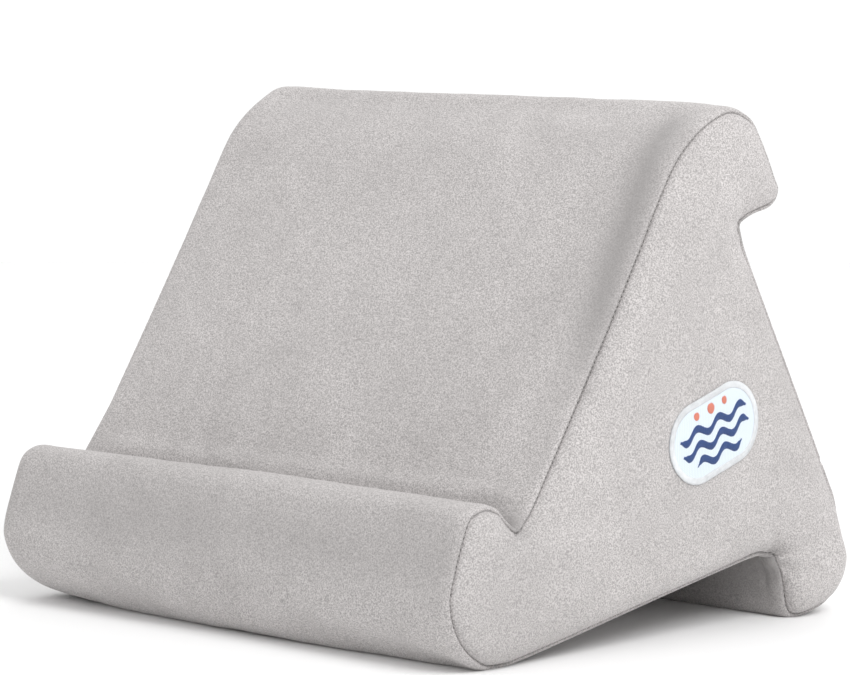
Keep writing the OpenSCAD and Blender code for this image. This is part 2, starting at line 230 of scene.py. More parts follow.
rng = np.random.default_rng(7)
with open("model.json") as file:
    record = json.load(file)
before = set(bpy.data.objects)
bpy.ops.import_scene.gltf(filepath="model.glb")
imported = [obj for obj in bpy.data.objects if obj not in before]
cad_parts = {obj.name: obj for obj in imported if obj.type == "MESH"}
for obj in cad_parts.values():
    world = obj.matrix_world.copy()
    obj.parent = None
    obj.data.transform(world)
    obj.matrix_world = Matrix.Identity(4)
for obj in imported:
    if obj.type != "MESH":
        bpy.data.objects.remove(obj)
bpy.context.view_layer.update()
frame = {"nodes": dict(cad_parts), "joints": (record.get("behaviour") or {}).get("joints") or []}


# ---------------------------------------------------------------------------------------------
# The side outline
# ---------------------------------------------------------------------------------------------


def boundary_loop(node):
    """The outline of a side panel's outer face, as (y, z) points in order."""
    tolerance = 0.02 * MM
    mesh = frame["nodes"][node].data
    face_x = max(v.co.x for v in mesh.vertices)
    key_of = {}
    for v in mesh.vertices:
        if v.co.x > face_x - tolerance:
            key_of[v.index] = (round(v.co.y, 6), round(v.co.z, 6))
    uses = {}
    for polygon in mesh.polygons:
        corners = [key_of.get(i) for i in polygon.vertices]
        if None in corners:
            continue
        for a, b in zip(corners, corners[1:] + corners[:1]):
            uses[a, b] = uses.get((a, b), 0) + 1
    after = {a: b for a, b in uses if (b, a) not in uses}
    start = min(after)
    loop = [start]
    while after[loop[-1]] != start:
        loop.append(after[loop[-1]])
    return np.array(loop)


def evenly_spaced(points, spacing):
    """A closed line through the same places, with evenly spaced points."""
    closed = np.vstack([points, points[:1]])
    along = np.concatenate([[0], np.cumsum(np.linalg.norm(np.diff(closed, axis=0), axis=1))])
    count = int(round(along[-1] / spacing))
    wanted = np.arange(count) * along[-1] / count
    return np.column_stack([np.interp(wanted, along, closed[:, k]) for k in (0, 1)])


def smoothed(values, spacing, reach):
    """Values round a closed line, blurred over a distance."""
    count = len(values)
    frequency = np.fft.rfftfreq(count, spacing)
    keep = np.exp(-2 * (np.pi * frequency * reach) ** 2)
    if values.ndim == 2:
        keep = keep[:, None]
    return np.fft.irfft(np.fft.rfft(values, axis=0) * keep, count, axis=0)


class Outline:
    """The side outline, anticlockwise seen from +X, read at any distance from its start."""

    def __init__(self, points, start):
        points = evenly_spaced(points, OUTLINE_STEP)
        first = int(np.argmin(np.linalg.norm(points - start, axis=1)))
        points = np.roll(points, -first, axis=0)
        points = smoothed(points, OUTLINE_STEP, OUTLINE_SOFTNESS)
        self.points = points
        step = np.roll(points, -1, axis=0) - np.roll(points, 1, axis=0)
        tangent = step / np.linalg.norm(step, axis=1)[:, None]
        self.normals = np.column_stack([tangent[:, 1], -tangent[:, 0]])
        spans = np.linalg.norm(np.roll(points, -1, axis=0) - points, axis=1)
        self.length = spans.sum()
        self.along = np.concatenate([[0], np.cumsum(spans)[:-1]])
        turned = np.roll(tangent, -1, axis=0) - np.roll(tangent, 1, axis=0)
        side = tangent[:, 0] * turned[:, 1] - tangent[:, 1] * turned[:, 0]
        self.curvature = side / (2 * spans.mean())

    def read(self, values, s):
        return np.interp(s, self.along, values, period=self.length)

    def at(self, s):
        """(places, outward normals) at distances s."""
        place = np.stack([self.read(self.points[:, k], s) for k in (0, 1)], axis=-1)
        normal = np.stack([self.read(self.normals[:, k], s) for k in (0, 1)], axis=-1)
        return place, normal / np.linalg.norm(normal, axis=-1, keepdims=True)

    def nearest(self, node):
        """The distance along the outline of a node's middle."""
        low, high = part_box(node)
        middle = np.array([(low.y + high.y) / 2, (low.z + high.z) / 2])
        return float(self.along[np.argmin(np.linalg.norm(self.points - middle, axis=1))])


def middle_of(node):
    low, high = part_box(node)
    return (low + high) / 2


ledge = middle_of("ledge_groove_stitching")
outline = Outline(boundary_loop("side_panel_right"), np.array([ledge.y, ledge.z]))
S_NOTCH = outline.nearest("foot_notch_stitching")
S_ZIP = outline.nearest("zip_topstitching")
S_LIP = outline.nearest("lip_groove_stitching")
GROOVES = (0.0, S_NOTCH, S_LIP)


def apart(s, place):
    """Signed distance along the outline from a place, the short way round."""
    half = outline.length / 2
    return (s - place + half) % outline.length - half


def face_crowns():
    """Bulge of the long straight faces, round the outline."""
    straight = np.abs(outline.curvature) < 1 / FLAT_R
    crown = np.zeros(len(straight))
    edges = np.flatnonzero(straight != np.roll(straight, 1))
    for k, first in enumerate(edges):
        last = edges[(k + 1) % len(edges)]
        count = (last - first) % len(straight)
        length = outline.length * count / len(straight)
        if straight[first] and length > SHORT_FACE:
            rise = np.sin(np.pi * (np.arange(count) + 0.5) / count) ** 1.2
            size = FACE_CROWN * min(1, length / LONG_FACE)
            crown[(first + np.arange(count)) % len(straight)] = size * rise
    return smoothed(crown, outline.length / len(crown), FACE_BLUR)


crown_along = face_crowns()
lobe_along = smoothed(
    np.clip(outline.curvature * LOBE_R, 0, 1), outline.length / len(outline.along), LOBE_BLUR
)
ROLL_TOP_S = outline.along[np.argmax(outline.normals[:, 1] > LEVEL)]
ROLL_BASE_S = outline.along[np.argmax(outline.normals[:, 1] < -LEVEL)]
CROWN_TOP_S = outline.along[np.argmax(outline.points[:, 1])]


# ---------------------------------------------------------------------------------------------
# The soft surface
# ---------------------------------------------------------------------------------------------


def bell(distance, width):
    return np.exp(-((distance / width) ** 2))


def turned_edge(distance, reach):
    """0 at an edge's seam, where it starts steeply, rising like a quarter circle to 1."""
    return np.sqrt(1 - np.clip(1 - distance / reach, 0, 1) ** 2)


def ramp(value, start, end):
    """0 before start, 1 after end, with a smooth rise between."""
    t = np.clip((value - start) / (end - start), 0, 1)
    return t * t * (3 - 2 * t)


def soft_noise(points, size, seed):
    """Smooth noise from -1 to 1 at points, with features of a size."""
    flat = points.reshape(-1, 3)
    shift = Vector((seed, 2.7 * seed, -1.3 * seed))
    values = [noise.fractal(Vector(p) / size + shift, 0.9, 2.1, 2) for p in flat]
    return np.array(values).reshape(points.shape[:-1])


def outward_at(s):
    """Directions out of the band at distances along the outline, in the row frame."""
    _, normal = outline.at(s)
    return np.stack([np.zeros_like(s), normal[..., 0], normal[..., 1]], axis=-1)


def groove_nearness(s, reach):
    """1 at the bottom of a groove, fading along the outline."""
    return sum(bell(apart(s, place), reach) for place in GROOVES)


def slot_half_width(x):
    """Half the zip slot's width at x, 0 past its rounded ends."""
    past = np.clip((np.abs(x) - SLOT_L / 2 + SLOT_CORNER_R) / SLOT_CORNER_R, 0, 1)
    return (SLOT_W / 2 - SLOT_CORNER_R) * (past < 1) + SLOT_CORNER_R * np.sqrt(1 - past**2)


def tuck(s):
    """How far a side panel is drawn round onto the band, which moves the seam towards the middle."""
    under = ramp(s - ROLL_BASE_S, *UNDER_START) * (1 - ramp(s - S_ZIP, *UNDER_END))
    return FACE_TUCK * bell(apart(s, FACE_TUCK_S), FACE_TUCK_W) + UNDER_TUCK * under


def rightness(x):
    """0 at the left end of the stand and 1 at the right end."""
    return 0.5 + 0.5 * np.tanh(x / SIDES_BLEND)


def groove_end(index):
    """The (y, z) place where a groove meets the side seams."""
    place, opening = outline.at(np.array(GROOVES[index]))
    return place + BRIDGES[index] * opening, opening


def lobe_ends(s, x):
    """How far the lobes' ends sink or rise towards the side seams."""
    facing_up = outline.read(outline.normals[:, 1], s)
    right = rightness(x)
    far_droop = FAR_DROOP + ROLL_DROOP * bell(apart(s, ROLL_TOP_S), ROLL_DROOP_W)
    droop = far_droop + (NEAR_DROOP - far_droop) * right
    lift = FAR_LIFT + (NEAR_LIFT - FAR_LIFT) * right
    size = droop * np.clip(LOBE_SIDE * facing_up, 0, 1)
    size = size + lift * np.clip(-LOBE_SIDE * facing_up, 0, 1)
    from_seam = SEAM_X - np.abs(x)
    size = size * np.exp(-from_seam / LOBE_END_REACH)
    sag = LOBE_SAG * np.clip(facing_up, 0, 1) * (1 - np.exp(-from_seam / LOBE_SAG_REACH))
    return outline.read(lobe_along, s) * (size + sag)


def upper_face(s, start, end):
    """1 over the upper rest face, fading in and out over two spans down from the crown."""
    down = apart(s, CROWN_TOP_S)
    return ramp(down, *start) * (1 - ramp(down, *end))


def face_folds(s, x):
    """The slack fold over the ledge, the hollow beside the right seam of the upper rest face, and
    the creases on the foot's inner wall."""
    from_seam = SEAM_X - np.abs(x)
    fold = SLACK_FOLD * bell(apart(s, SLACK_FOLD_S), SLACK_FOLD_W)
    fold *= 1 - bell(from_seam, SLACK_FOLD_END)
    place = HOLLOW_X - HOLLOW_SLANT * apart(s, CROWN_TOP_S)
    hollow = HOLLOW * upper_face(s, HOLLOW_START, HOLLOW_END)
    hollow = hollow * bell(from_seam - place, HOLLOW_W) * rightness(x)
    crease = FOOT_CREASE * bell(from_seam - FOOT_CREASE_X, FOOT_CREASE_W)
    crease = crease * bell(apart(s, S_NOTCH + FOOT_WALL), FOOT_CREASE_L)
    return fold - hollow - crease


def band_painted_shade(s, x):
    """How much painted shade darkens the band, from 0 to 1."""
    place = PAINTED_SHADE_HOLLOW_X - PAINTED_SHADE_HOLLOW_SLANT * apart(s, CROWN_TOP_S)
    beside = bell(SEAM_X - np.abs(x) - place, PAINTED_SHADE_HOLLOW_W)
    upper = upper_face(s, PAINTED_SHADE_HOLLOW_START, PAINTED_SHADE_HOLLOW_END)
    nap = PAINTED_SHADE_GROOVE * groove_nearness(s, PAINTED_SHADE_GROOVE_W) + PAINTED_SHADE_HOLLOW * upper * beside * rightness(x)
    nap += PAINTED_SHADE_ROLL * bell(apart(s, (ROLL_TOP_S + ROLL_BASE_S) / 2), PAINTED_SHADE_ROLL_W)
    nap += PAINTED_SHADE_FOOT * bell(apart(s, S_NOTCH + FOOT_WALL), PAINTED_SHADE_FOOT_W)
    return np.clip(nap, 0, 1)


def side_painted_shade(points):
    """The same painted shade for (y, z) points on a side panel."""
    middle = (outline.at(ROLL_TOP_S)[0] + outline.at(ROLL_BASE_S)[0]) / 2
    nap = PAINTED_SHADE_SIDE * bell(np.linalg.norm(points - middle, axis=1), PAINTED_SHADE_SIDE_W)
    for index in range(len(GROOVES)):
        place, _ = groove_end(index)
        nap += PAINTED_SHADE_GATHER * bell(np.linalg.norm(points - place, axis=1), PAINTED_SHADE_GATHER_W)
    return np.clip(nap, 0, 1)


def band_height(s, x):
    """How far the band stands out from the side outline."""
    from_seam = SEAM_X - np.abs(x)
    height = -BAND_DROP * np.clip(1 - from_seam / BAND_REACH, 0, 1) ** 2
    height -= SEAM_VALLEY * bell(from_seam, SEAM_VALLEY_W)
    near_zip = bell(apart(s, S_ZIP), BACK_FLAT)
    spread = 1 - np.exp(-from_seam / CROWN_REACH)
    height += outline.read(crown_along, s) * spread * (1 - near_zip)
    height += face_folds(s, x) - lobe_ends(s, x)
    height -= GROOVE_PULL * groove_nearness(s, GROOVE_PULL_W)
    crease = np.sin(apart(s, 0) / PUCKER_STEP + PUCKER_SWAY * np.sin(x / PUCKER_SWAY_L))
    fade = np.exp(-from_seam / PUCKER_REACH) * (1 - bell(from_seam, PUCKER_CLEAR))
    for place, pucker in zip(GROOVES, PUCKERS):
        height += pucker * crease * bell(apart(s, place), PUCKER_L) * fade
    return height


def unevenness(points, free, lump, lump_size, seeds, clear=1.0):
    """Lumps of the filling where the cover is free of its seams, and the cloth's small waves."""
    lumps = free * lump * soft_noise(points, lump_size, seeds[0])
    waves = (0.3 + 0.7 * free) * clear * RIPPLE
    return lumps + waves * soft_noise(points, RIPPLE_L, seeds[1])


class ClothMoves:
    """Where a simulation of the filled cover moves its cloth, read at any place on the cover."""

    def __init__(self, places, moves):
        self.tree = kdtree.KDTree(len(places))
        for index, place in enumerate(places):
            self.tree.insert(place, index)
        self.tree.balance()
        self.moves = moves

    def at(self, points):
        flat = points.reshape(-1, 3)
        found = [self.tree.find_n(p, SIM_NEIGHBOURS) for p in flat.tolist()]
        index = np.array([[f[1] for f in near] for near in found])
        distance = np.array([[f[2] for f in near] for near in found])
        weight = bell(distance, SIM_REACH) + 1e-9
        moves = (self.moves[index] * weight[..., None]).sum(1) / weight.sum(1)[:, None]
        return moves.reshape(points.shape)


cloth_moves = None


def moved(points):
    """Places where the simulation of the filled cover takes them, once it has been run."""
    return points if cloth_moves is None else points + cloth_moves.at(points)


def still_points(s, x):
    """Places on the band's outer side before the simulation moves them."""
    place, _ = outline.at(s)
    across = x * (1 - tuck(s) / SEAM_X)
    base = np.stack([across, place[..., 0], place[..., 1]], axis=-1)
    from_seam = SEAM_X - np.abs(x)
    free = 1 - np.exp(-from_seam / BAND_FREE_REACH)
    free = free * (1 - bell(apart(s, S_ZIP), ZIP_HELD_REACH))
    height = band_height(s, x) + unevenness(base, free, LUMP, LUMP_L, (3.0, 8.0))
    points = base + height[..., None] * outward_at(s)
    for place, depth in zip(GROOVES, BRIDGES):
        _, opening = outline.at(np.array(place))
        lift = depth * bell(apart(s, place), BRIDGE_W) * bell(from_seam, BRIDGE_REACH)
        points[..., 1:] += lift[..., None] * opening
    return points


def band_points(s, x):
    """Places on the band's outer side."""
    return moved(still_points(s, x))


def side_height(points, distance, seam_s, side):
    """How far a side panel stands out past SEAM_X at (y, z) points, given how far they are from
    the seam and which place along the seam is the nearest."""
    drawn = tuck(seam_s)
    height = (SIDE_RISE + drawn) * turned_edge(distance, SIDE_REACH) - drawn
    height += SEAM_VALLEY * (1 - bell(distance, SEAM_VALLEY_W))
    height += SIDE_BULGE * (1 - np.exp(-distance / SIDE_BULGE_REACH))
    for index in range(len(GROOVES)):
        place, opening = groove_end(index)
        away = points - place
        reach = np.linalg.norm(away, axis=1)
        turn = np.arctan2(away[:, 1], away[:, 0]) - math.atan2(-opening[1], -opening[0])
        turn = (turn + np.pi) % (2 * np.pi) - np.pi
        fold = np.cos(GATHERS[index] * turn + GATHER_TURN * side + index)
        clear = np.clip(distance / GATHER_CLEAR, 0, 1)
        height += GATHER_H[index] * fold * np.exp(-reach / GATHER_REACH[index]) * clear
        height -= DIMPLES[index] * bell(reach, DIMPLE_REACH) * clear
    base = np.column_stack([np.full(len(points), side * SEAM_X), points])
    free = 1 - np.exp(-distance / SIDE_FREE_REACH)
    clear = 1 - bell(distance, RIPPLE_CLEAR)
    return height + unevenness(base, free, SIDE_LUMP, SIDE_LUMP_L, (5.0, 9.0), clear)


# ---------------------------------------------------------------------------------------------
# Pieces
# ---------------------------------------------------------------------------------------------


def mesh_object(name, points, faces, smooth=True):
    """A new object of points and faces, which may be arrays or lists."""
    mesh = bpy.data.meshes.new(name)
    faces = faces.tolist() if isinstance(faces, np.ndarray) else faces
    mesh.from_pydata(np.asarray(points).tolist(), [], faces)
    mesh.polygons.foreach_set("use_smooth", [smooth] * len(mesh.polygons))
    mesh.validate()
    made = bpy.data.objects.new(name, mesh)
    bpy.context.scene.collection.objects.link(made)
    return made


def with_painted_shade(piece, nap):
    """Stores how much painted shade darkens each point, for the velvet material."""
    values = piece.data.attributes.new("nap", "FLOAT", "POINT")
    values.data.foreach_set("value", nap.ravel())
    return piece


def finished(piece, slot, node, body="stand"):
    """Gives a piece its finish, attaches it to a body, and hides the CAD node it takes the place of.
    """
    piece.data.materials.clear()
    piece.data.materials.append(materials[slot])
    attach(piece, body)
    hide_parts(node)
    return piece


def grid_faces(rows, columns):
    """Four-sided faces between the points of a grid."""
    index = np.arange(rows * columns).reshape(rows, columns)
    quads = np.stack([index[:-1, :-1], index[:-1, 1:], index[1:, 1:], index[1:, :-1]], axis=-1)
    return quads.reshape(-1, 4)


def on_floor(points):
    """Flattens what would pass through the floor, softly."""
    z = points[..., 2]
    soft = 0.6 * MM
    lifted = np.where(z > 3 * soft, z, soft * np.logaddexp(0, z / soft))
    points = points.copy()
    points[..., 2] = lifted
    return points


def column_places():
    """X of the mesh columns, closer together at the side seams and the ends of the zip."""
    half = [0.0]
    while half[-1] < SEAM_X:
        from_seam = SEAM_X - half[-1]
        from_end = abs(half[-1] - SLOT_L / 2)
        step = COLUMN_GROWTH * min(from_seam, from_end + 1.5 * MM)
        half.append(half[-1] + np.clip(step, COLUMN_FINEST, COLUMN_WIDEST))
    half = np.array(half) * SEAM_X / half[-1]
    return np.concatenate([-half[:0:-1], half])


COLUMNS = column_places()


def band_panel(node, start, end, zip_edge=None):
    """A piece of the band from one seam to the next; zip_edge says which end has the zip slot."""
    rows = np.linspace(start, end, int(round((end - start) / ROW_STEP)) + 1)
    s, x = np.meshgrid(rows, COLUMNS, indexing="ij")
    if zip_edge is not None:
        edge = start if zip_edge == "start" else end
        inward = 1 if zip_edge == "start" else -1
        from_edge = (s - edge) * inward
        s = s + inward * slot_half_width(x) * np.clip(1 - from_edge / HEM_REACH, 0, 1)
    points = band_points(s, x)
    if zip_edge is not None:
        points = hemmed(points, s, x, from_edge)
    points = on_floor(points)
    piece = mesh_object(node + "_visual", points.reshape(-1, 3), grid_faces(*s.shape))
    return with_painted_shade(piece, band_painted_shade(s, x))


def hemmed(points, s, x, from_edge):
    """Rolls the cover's edge in along the zip slot, and sinks its line of top-stitching."""
    open_part = np.clip(slot_half_width(x) / SLOT_CORNER_R, 0, 1)
    from_slot = np.where(open_part > 0, from_edge, np.hypot(from_edge, np.abs(x) - SLOT_L / 2))
    stitched = np.abs(x) < SLOT_L / 2 + TOP_STITCH_AWAY
    drop = HEM_DROP * bell(from_slot, HEM_W) * open_part
    drop += TOP_STITCH_SINK * bell(from_edge - TOP_STITCH_AWAY, TOP_STITCH_W) * stitched
    drop += SLOT_END_DROP * bell(from_edge, SLOT_END_W) * (1 - open_part)
    return points - drop[..., None] * outward_at(s)


def with_thickness(piece, thickness):
    """Gives a sheet its real thickness, inwards from its outer side."""
    solidify = piece.modifiers.new("thickness", "SOLIDIFY")
    solidify.thickness = thickness
    solidify.offset = -1
    solidify.use_even_offset = False
    apply_modifiers(piece)
    return piece


def apply_modifiers(piece):
    """Puts what the modifiers make in place of the piece's mesh."""
    bpy.context.view_layer.update()
    evaluated = piece.evaluated_get(bpy.context.evaluated_depsgraph_get())
    mesh = bpy.data.meshes.new_from_object(evaluated)
    piece.modifiers.clear()
    old = piece.data
    piece.data = mesh
    bpy.data.meshes.remove(old)


def seam_loop(side):
    """(y, z) places round a side seam, before the simulation moves them, and outward normals."""
    count = int(round(outline.length / ROW_STEP))
    s = np.arange(count) * outline.length / count
    _, normal = outline.at(s)
    return still_points(s, np.full(count, side * SEAM_X))[:, 1:], normal


def side_mesh(loop, spacing, rings=SIDE_RINGS):
    """A side panel inside a seam: (y, z) points, their distance from the seam, the place along
    the outline of the seam's nearest point, triangles, and which point each one was made from,
    the seam's own points being the first."""
    edge, normal = loop
    rings = np.array(rings) * MM
    points = [edge - normal * ring for ring in rings]
    distance = [np.full(len(edge), ring) for ring in rings]
    low, high = edge.min(0), edge.max(0)
    ys = np.arange(low[0], high[0], spacing)
    zs = np.arange(low[1], high[1], spacing * math.sqrt(0.75))
    grid = np.array([(y + spacing / 2 * (k % 2), z) for k, z in enumerate(zs) for y in ys])
    away = np.array([np.linalg.norm(edge - p, axis=1) for p in grid])
    gaps = away.min(1)
    inside = points_inside(grid, edge) & (gaps > rings[-1] + 0.8 * spacing)
    points = np.vstack([*points, grid[inside]])
    distance = np.concatenate([*distance, gaps[inside]])
    nearest = np.concatenate([np.tile(np.arange(len(edge)), len(rings)), away.argmin(1)[inside]])
    seam_s = nearest * outline.length / len(edge)
    border = [(k, (k + 1) % len(edge)) for k in range(len(edge))]
    result = geometry.delaunay_2d_cdt([Vector(p) for p in points], border, [], 1, 1e-7)
    made, _, triangles, sources = result[:4]
    source = np.array([near[0] for near in sources])
    flat = np.array([list(p) for p in made])
    return flat, distance[source], seam_s[source], np.array(triangles), source


def points_inside(points, loop):
    """Whether each point is inside a closed line."""
    inside = np.zeros(len(points), bool)
    for (y0, z0), (y1, z1) in zip(loop, np.roll(loop, -1, axis=0)):
        crosses = (z0 > points[:, 1]) != (z1 > points[:, 1])
        if z0 != z1:
            at = y0 + (points[:, 1] - z0) * (y1 - y0) / (z1 - z0)
            inside ^= crosses & (points[:, 0] < at)
    return inside


def side_panel(node, side):
    flat, distance, seam_s, triangles, _ = side_mesh(seam_loop(side), SIDE_SPACING)
    x = side * (SEAM_X + side_height(flat, distance, seam_s, side))
    points = np.column_stack([x, flat])
    points = on_floor(moved(points))
    triangles = triangles if side > 0 else triangles[:, ::-1]
    return with_painted_shade(mesh_object(node + "_visual", points, triangles), side_painted_shade(flat))


def closed_cover(inset, spacing, sunk=None):
    """The whole cover as one closed form, set in by a distance: points, faces, and how far
    along the outline and across the stand each of the band's points lies."""
    rows = int(outline.length / spacing)
    half = SEAM_X - inset
    s = np.arange(rows) * outline.length / rows
    x = np.linspace(-half, half, int(2 * half / spacing))
    s, x = np.meshgrid(s, x, indexing="ij")
    outward = outward_at(s)
    depth = inset + (sunk(s, x) if sunk else 0 * s)
    band = still_points(s, x * SEAM_X / half) - depth[..., None] * outward
    band[..., 0] *= half / SEAM_X
    index = np.arange(band[..., 0].size).reshape(x.shape)
    after = np.roll(index, -1, axis=0)
    quads = np.stack([index[:, :-1], index[:, 1:], after[:, 1:], after[:, :-1]], axis=-1)
    faces = quads.reshape(-1, 4).tolist()
    points = [band.reshape(-1, 3)]
    count = index.size
    for side in (-1, 1):
        rim = index[:, -1 if side > 0 else 0]
        edge = band[:, -1 if side > 0 else 0, 1:]
        flat, distance, seam_s, triangles, source = side_mesh(
            (edge, outward[:, 0, 1:]), spacing, (0, 2.5, 5.0)
        )
        cap_x = side * (half + side_height(flat, distance, seam_s, side))
        own = count + np.arange(len(flat))
        own = np.where(source < rows, rim[np.minimum(source, rows - 1)], own)
        faces += own[triangles if side > 0 else triangles[:, ::-1]].tolist()
        points.append(np.column_stack([cap_x, flat]))
        count += len(flat)
    return np.vstack(points), faces, s, x


def block_object(name, points, faces):
    """A mesh object of points and faces, without the points that no face uses."""
    used = np.zeros(len(points), bool)
    for face in faces:
        used[face] = True
    renumbered = np.cumsum(used) - 1
    faces = [[int(renumbered[i]) for i in face] for face in faces]
    return mesh_object(name, points[used], faces)


def simulated_moves():
    """Fills a coarse copy of the cover like a cushion, held at its grooves, zip and feet."""
    points, faces, s, x = closed_cover(0.0, SIM_SPACING)
    copy = block_object("cover_simulation", points, faces)
    rest = np.array([v.co for v in copy.data.vertices])
    held = np.zeros(len(rest))
    band = s.size
    near_groove = groove_nearness(s, SIM_HELD_GROOVE)
    near_zip = bell(apart(s, S_ZIP), SIM_HELD_ZIP)
    held[:band] = np.clip(np.maximum(near_groove, near_zip), 0, 1).ravel()
    held[rest[:, 2] < SIM_HELD_FLOOR] = 1
    group = copy.vertex_groups.new(name="held")
    for index in np.flatnonzero(held > 0.02):
        group.add([int(index)], float(held[index]), "REPLACE")
    cloth = copy.modifiers.new("cloth", "CLOTH")
    for key, value in CLOTH.items():
        setattr(cloth.settings, key, value)
    cloth.settings.effector_weights.gravity = 0
    cloth.point_cache.frame_start = 1
    cloth.point_cache.frame_end = SIM_FRAMES
    for number in range(1, SIM_FRAMES + 1):
        bpy.context.scene.frame_set(number)
    evaluated = copy.evaluated_get(bpy.context.evaluated_depsgraph_get())
    after = np.array([v.co for v in evaluated.data.vertices])
    bpy.context.scene.frame_set(1)
    old = copy.data
    bpy.data.objects.remove(copy)
    bpy.data.meshes.remove(old)
    moves = after - rest
    size = np.linalg.norm(moves, axis=1, keepdims=True)
    moves *= SIM_CAP * np.tanh(size / SIM_CAP) / np.maximum(size, 1e-9)
    return ClothMoves(rest.tolist(), moves)


cloth_moves = simulated_moves()

BAND_SPANS = {
    "front_roll_panel": (0, S_NOTCH),
    "rear_foot_panel": (S_NOTCH, S_ZIP, "end"),
    "back_panel": (S_ZIP, S_LIP, "start"),
    "rest_face_panel": (S_LIP, outline.length),
}
panels = {node: band_panel(node, *span) for node, span in BAND_SPANS.items()}
for node, side in (("side_panel_right", 1), ("side_panel_left", -1)):
    panels[node] = side_panel(node, side)

# ---------------------------------------------------------------------------------------------
# Materials
# ---------------------------------------------------------------------------------------------


class Nodes:
    """A material's node tree, with short ways to add the few nodes that are used here."""

    def __init__(self, name):
        self.material = bpy.data.materials.new(name)
        self.material.use_nodes = True
        self.tree = self.material.node_tree
        self.shader = self.tree.nodes["Principled BSDF"]
        self.places = self.add("ShaderNodeTexCoord").outputs["Object"]

    def add(self, kind, inputs=None, **settings):
        made = self.tree.nodes.new(kind)
        for key, value in settings.items():
            setattr(made, key, value)
        for key, value in (inputs or {}).items():
            self.set(made.inputs[key], value)
        return made

    def set(self, socket, value):
        if isinstance(value, bpy.types.NodeSocket):
            self.tree.links.new(value, socket)
        elif isinstance(value, tuple):
            socket.default_value = (*value, 1) if len(value) == 3 and socket.type == "RGBA" else value
        else:
            socket.default_value = value

    def stretched(self, scale, turn=(0, 0, 0)):
        return self.add(
            "ShaderNodeMapping", {"Vector": self.places, "Scale": scale, "Rotation": turn}
        ).outputs["Vector"]

    def noise(self, size, detail=2.0, distortion=0.0, places=None):
        """Noise from 0 to 1 with features of a size."""
        return self.add(
            "ShaderNodeTexNoise",
            {
                "Vector": places or self.places,
                "Scale": 1 / size,
                "Detail": detail,
                "Distortion": distortion,
            },
        ).outputs["Fac"]

    def wave(self, size, places, distortion=0.0):
        """Bands from 0 to 1, a size apart along the places' X."""
        return self.add(
            "ShaderNodeTexWave",
            {"Vector": places, "Scale": 0.05 * 2 * math.pi / size, "Distortion": distortion},
        ).outputs["Fac"]

    def spread(self, value, low, high, to_low=0.0, to_high=1.0):
        return self.add(
            "ShaderNodeMapRange",
            {"Value": value, "From Min": low, "From Max": high, "To Min": to_low, "To Max": to_high},
        ).outputs["Result"]

    def sum(self, *terms):
        total = terms[0]
        for term in terms[1:]:
            total = self.add("ShaderNodeMath", {0: total, 1: term}, operation="ADD").outputs[0]
        return total

    def mixed(self, share, first, second):
        mix = self.add("ShaderNodeMix", data_type="RGBA")
        self.set(mix.inputs["Factor"], share)
        self.set(mix.inputs["A"], first)
        self.set(mix.inputs["B"], second)
        return mix.outputs["Result"]

    def bumped(self, height, depth, strength=1.0):
        """Gives the shader a relief of a depth."""
        bump = self.add(
            "ShaderNodeBump", {"Height": height, "Distance": depth, "Strength": strength}
        )
        self.set(self.shader.inputs["Normal"], bump.outputs["Normal"])

    def finish(self, **values):
        """Sets the shader's own sockets and returns the material."""
        for key, value in values.items():
            self.set(self.shader.inputs[key.replace("_", " ")], value)
        return self.material


VELVET = {
    "dark": (0.56, 0.535, 0.529),
    "light": (0.64, 0.612, 0.606),
    "raised": (0.68, 0.65, 0.643),
    # painted shade, mixed in where shade falls in grooves and hollows
    "pressed": (0.33, 0.316, 0.312),
    "between_hairs": (0.29, 0.277, 0.274),
}


def velvet_material():
    """Short pile, brushed into lighter and darker patches, with a fine speckle and painted shade."""
    nodes = Nodes("velvet")
    brushed = nodes.spread(nodes.noise(58 * MM, 3, 1.2, nodes.stretched((1, 0.75, 0.75))), 0.38, 0.62)
    patches = nodes.spread(nodes.noise(17 * MM, 3, 0.8), 0.35, 0.68)
    pile = nodes.spread(nodes.noise(0.6 * MM, 4), 0.38, 0.62)
    colour = nodes.mixed(brushed, VELVET["dark"], VELVET["light"])
    colour = nodes.mixed(nodes.spread(patches, 0, 1, 0, 0.45), colour, VELVET["raised"])
    # Painted shade: the stored mask darkens the velvet where shade falls
    nap = nodes.add("ShaderNodeAttribute", attribute_name="nap").outputs["Fac"]
    colour = nodes.mixed(nap, colour, VELVET["pressed"])
    colour = nodes.mixed(nodes.spread(pile, 0, 1, 0.86, 0), colour, VELVET["between_hairs"])
    relief = nodes.sum(nodes.noise(1.1 * MM, 3), nodes.spread(nodes.noise(4 * MM, 2), 0, 1, 0, 1.5))
    nodes.bumped(relief, 0.3 * MM)
    return nodes.finish(
        Base_Color=colour, Roughness=0.95, Sheen_Weight=0.35, Sheen_Roughness=0.45,
        Sheen_Tint=(0.95, 0.93, 0.92), Specular_IOR_Level=0.15,
    )


def thread_material(name, colour, shine=0.6, twist=0.35 * MM):
    """Spun or embroidery thread: a colour that varies a little, with a twist along it."""
    nodes = Nodes(name)
    darker = tuple(0.72 * value for value in colour)
    shade = nodes.mixed(nodes.noise(2.5 * MM, 2), darker, colour)
    nodes.bumped(nodes.wave(twist, nodes.stretched((1, 1, 1), (0.5, 0.4, 0.8)), 1.0), 0.05 * MM)
    return nodes.finish(
        Base_Color=shade, Roughness=shine, Sheen_Weight=0.2, Sheen_Roughness=0.4,
        Specular_IOR_Level=0.4,
    )


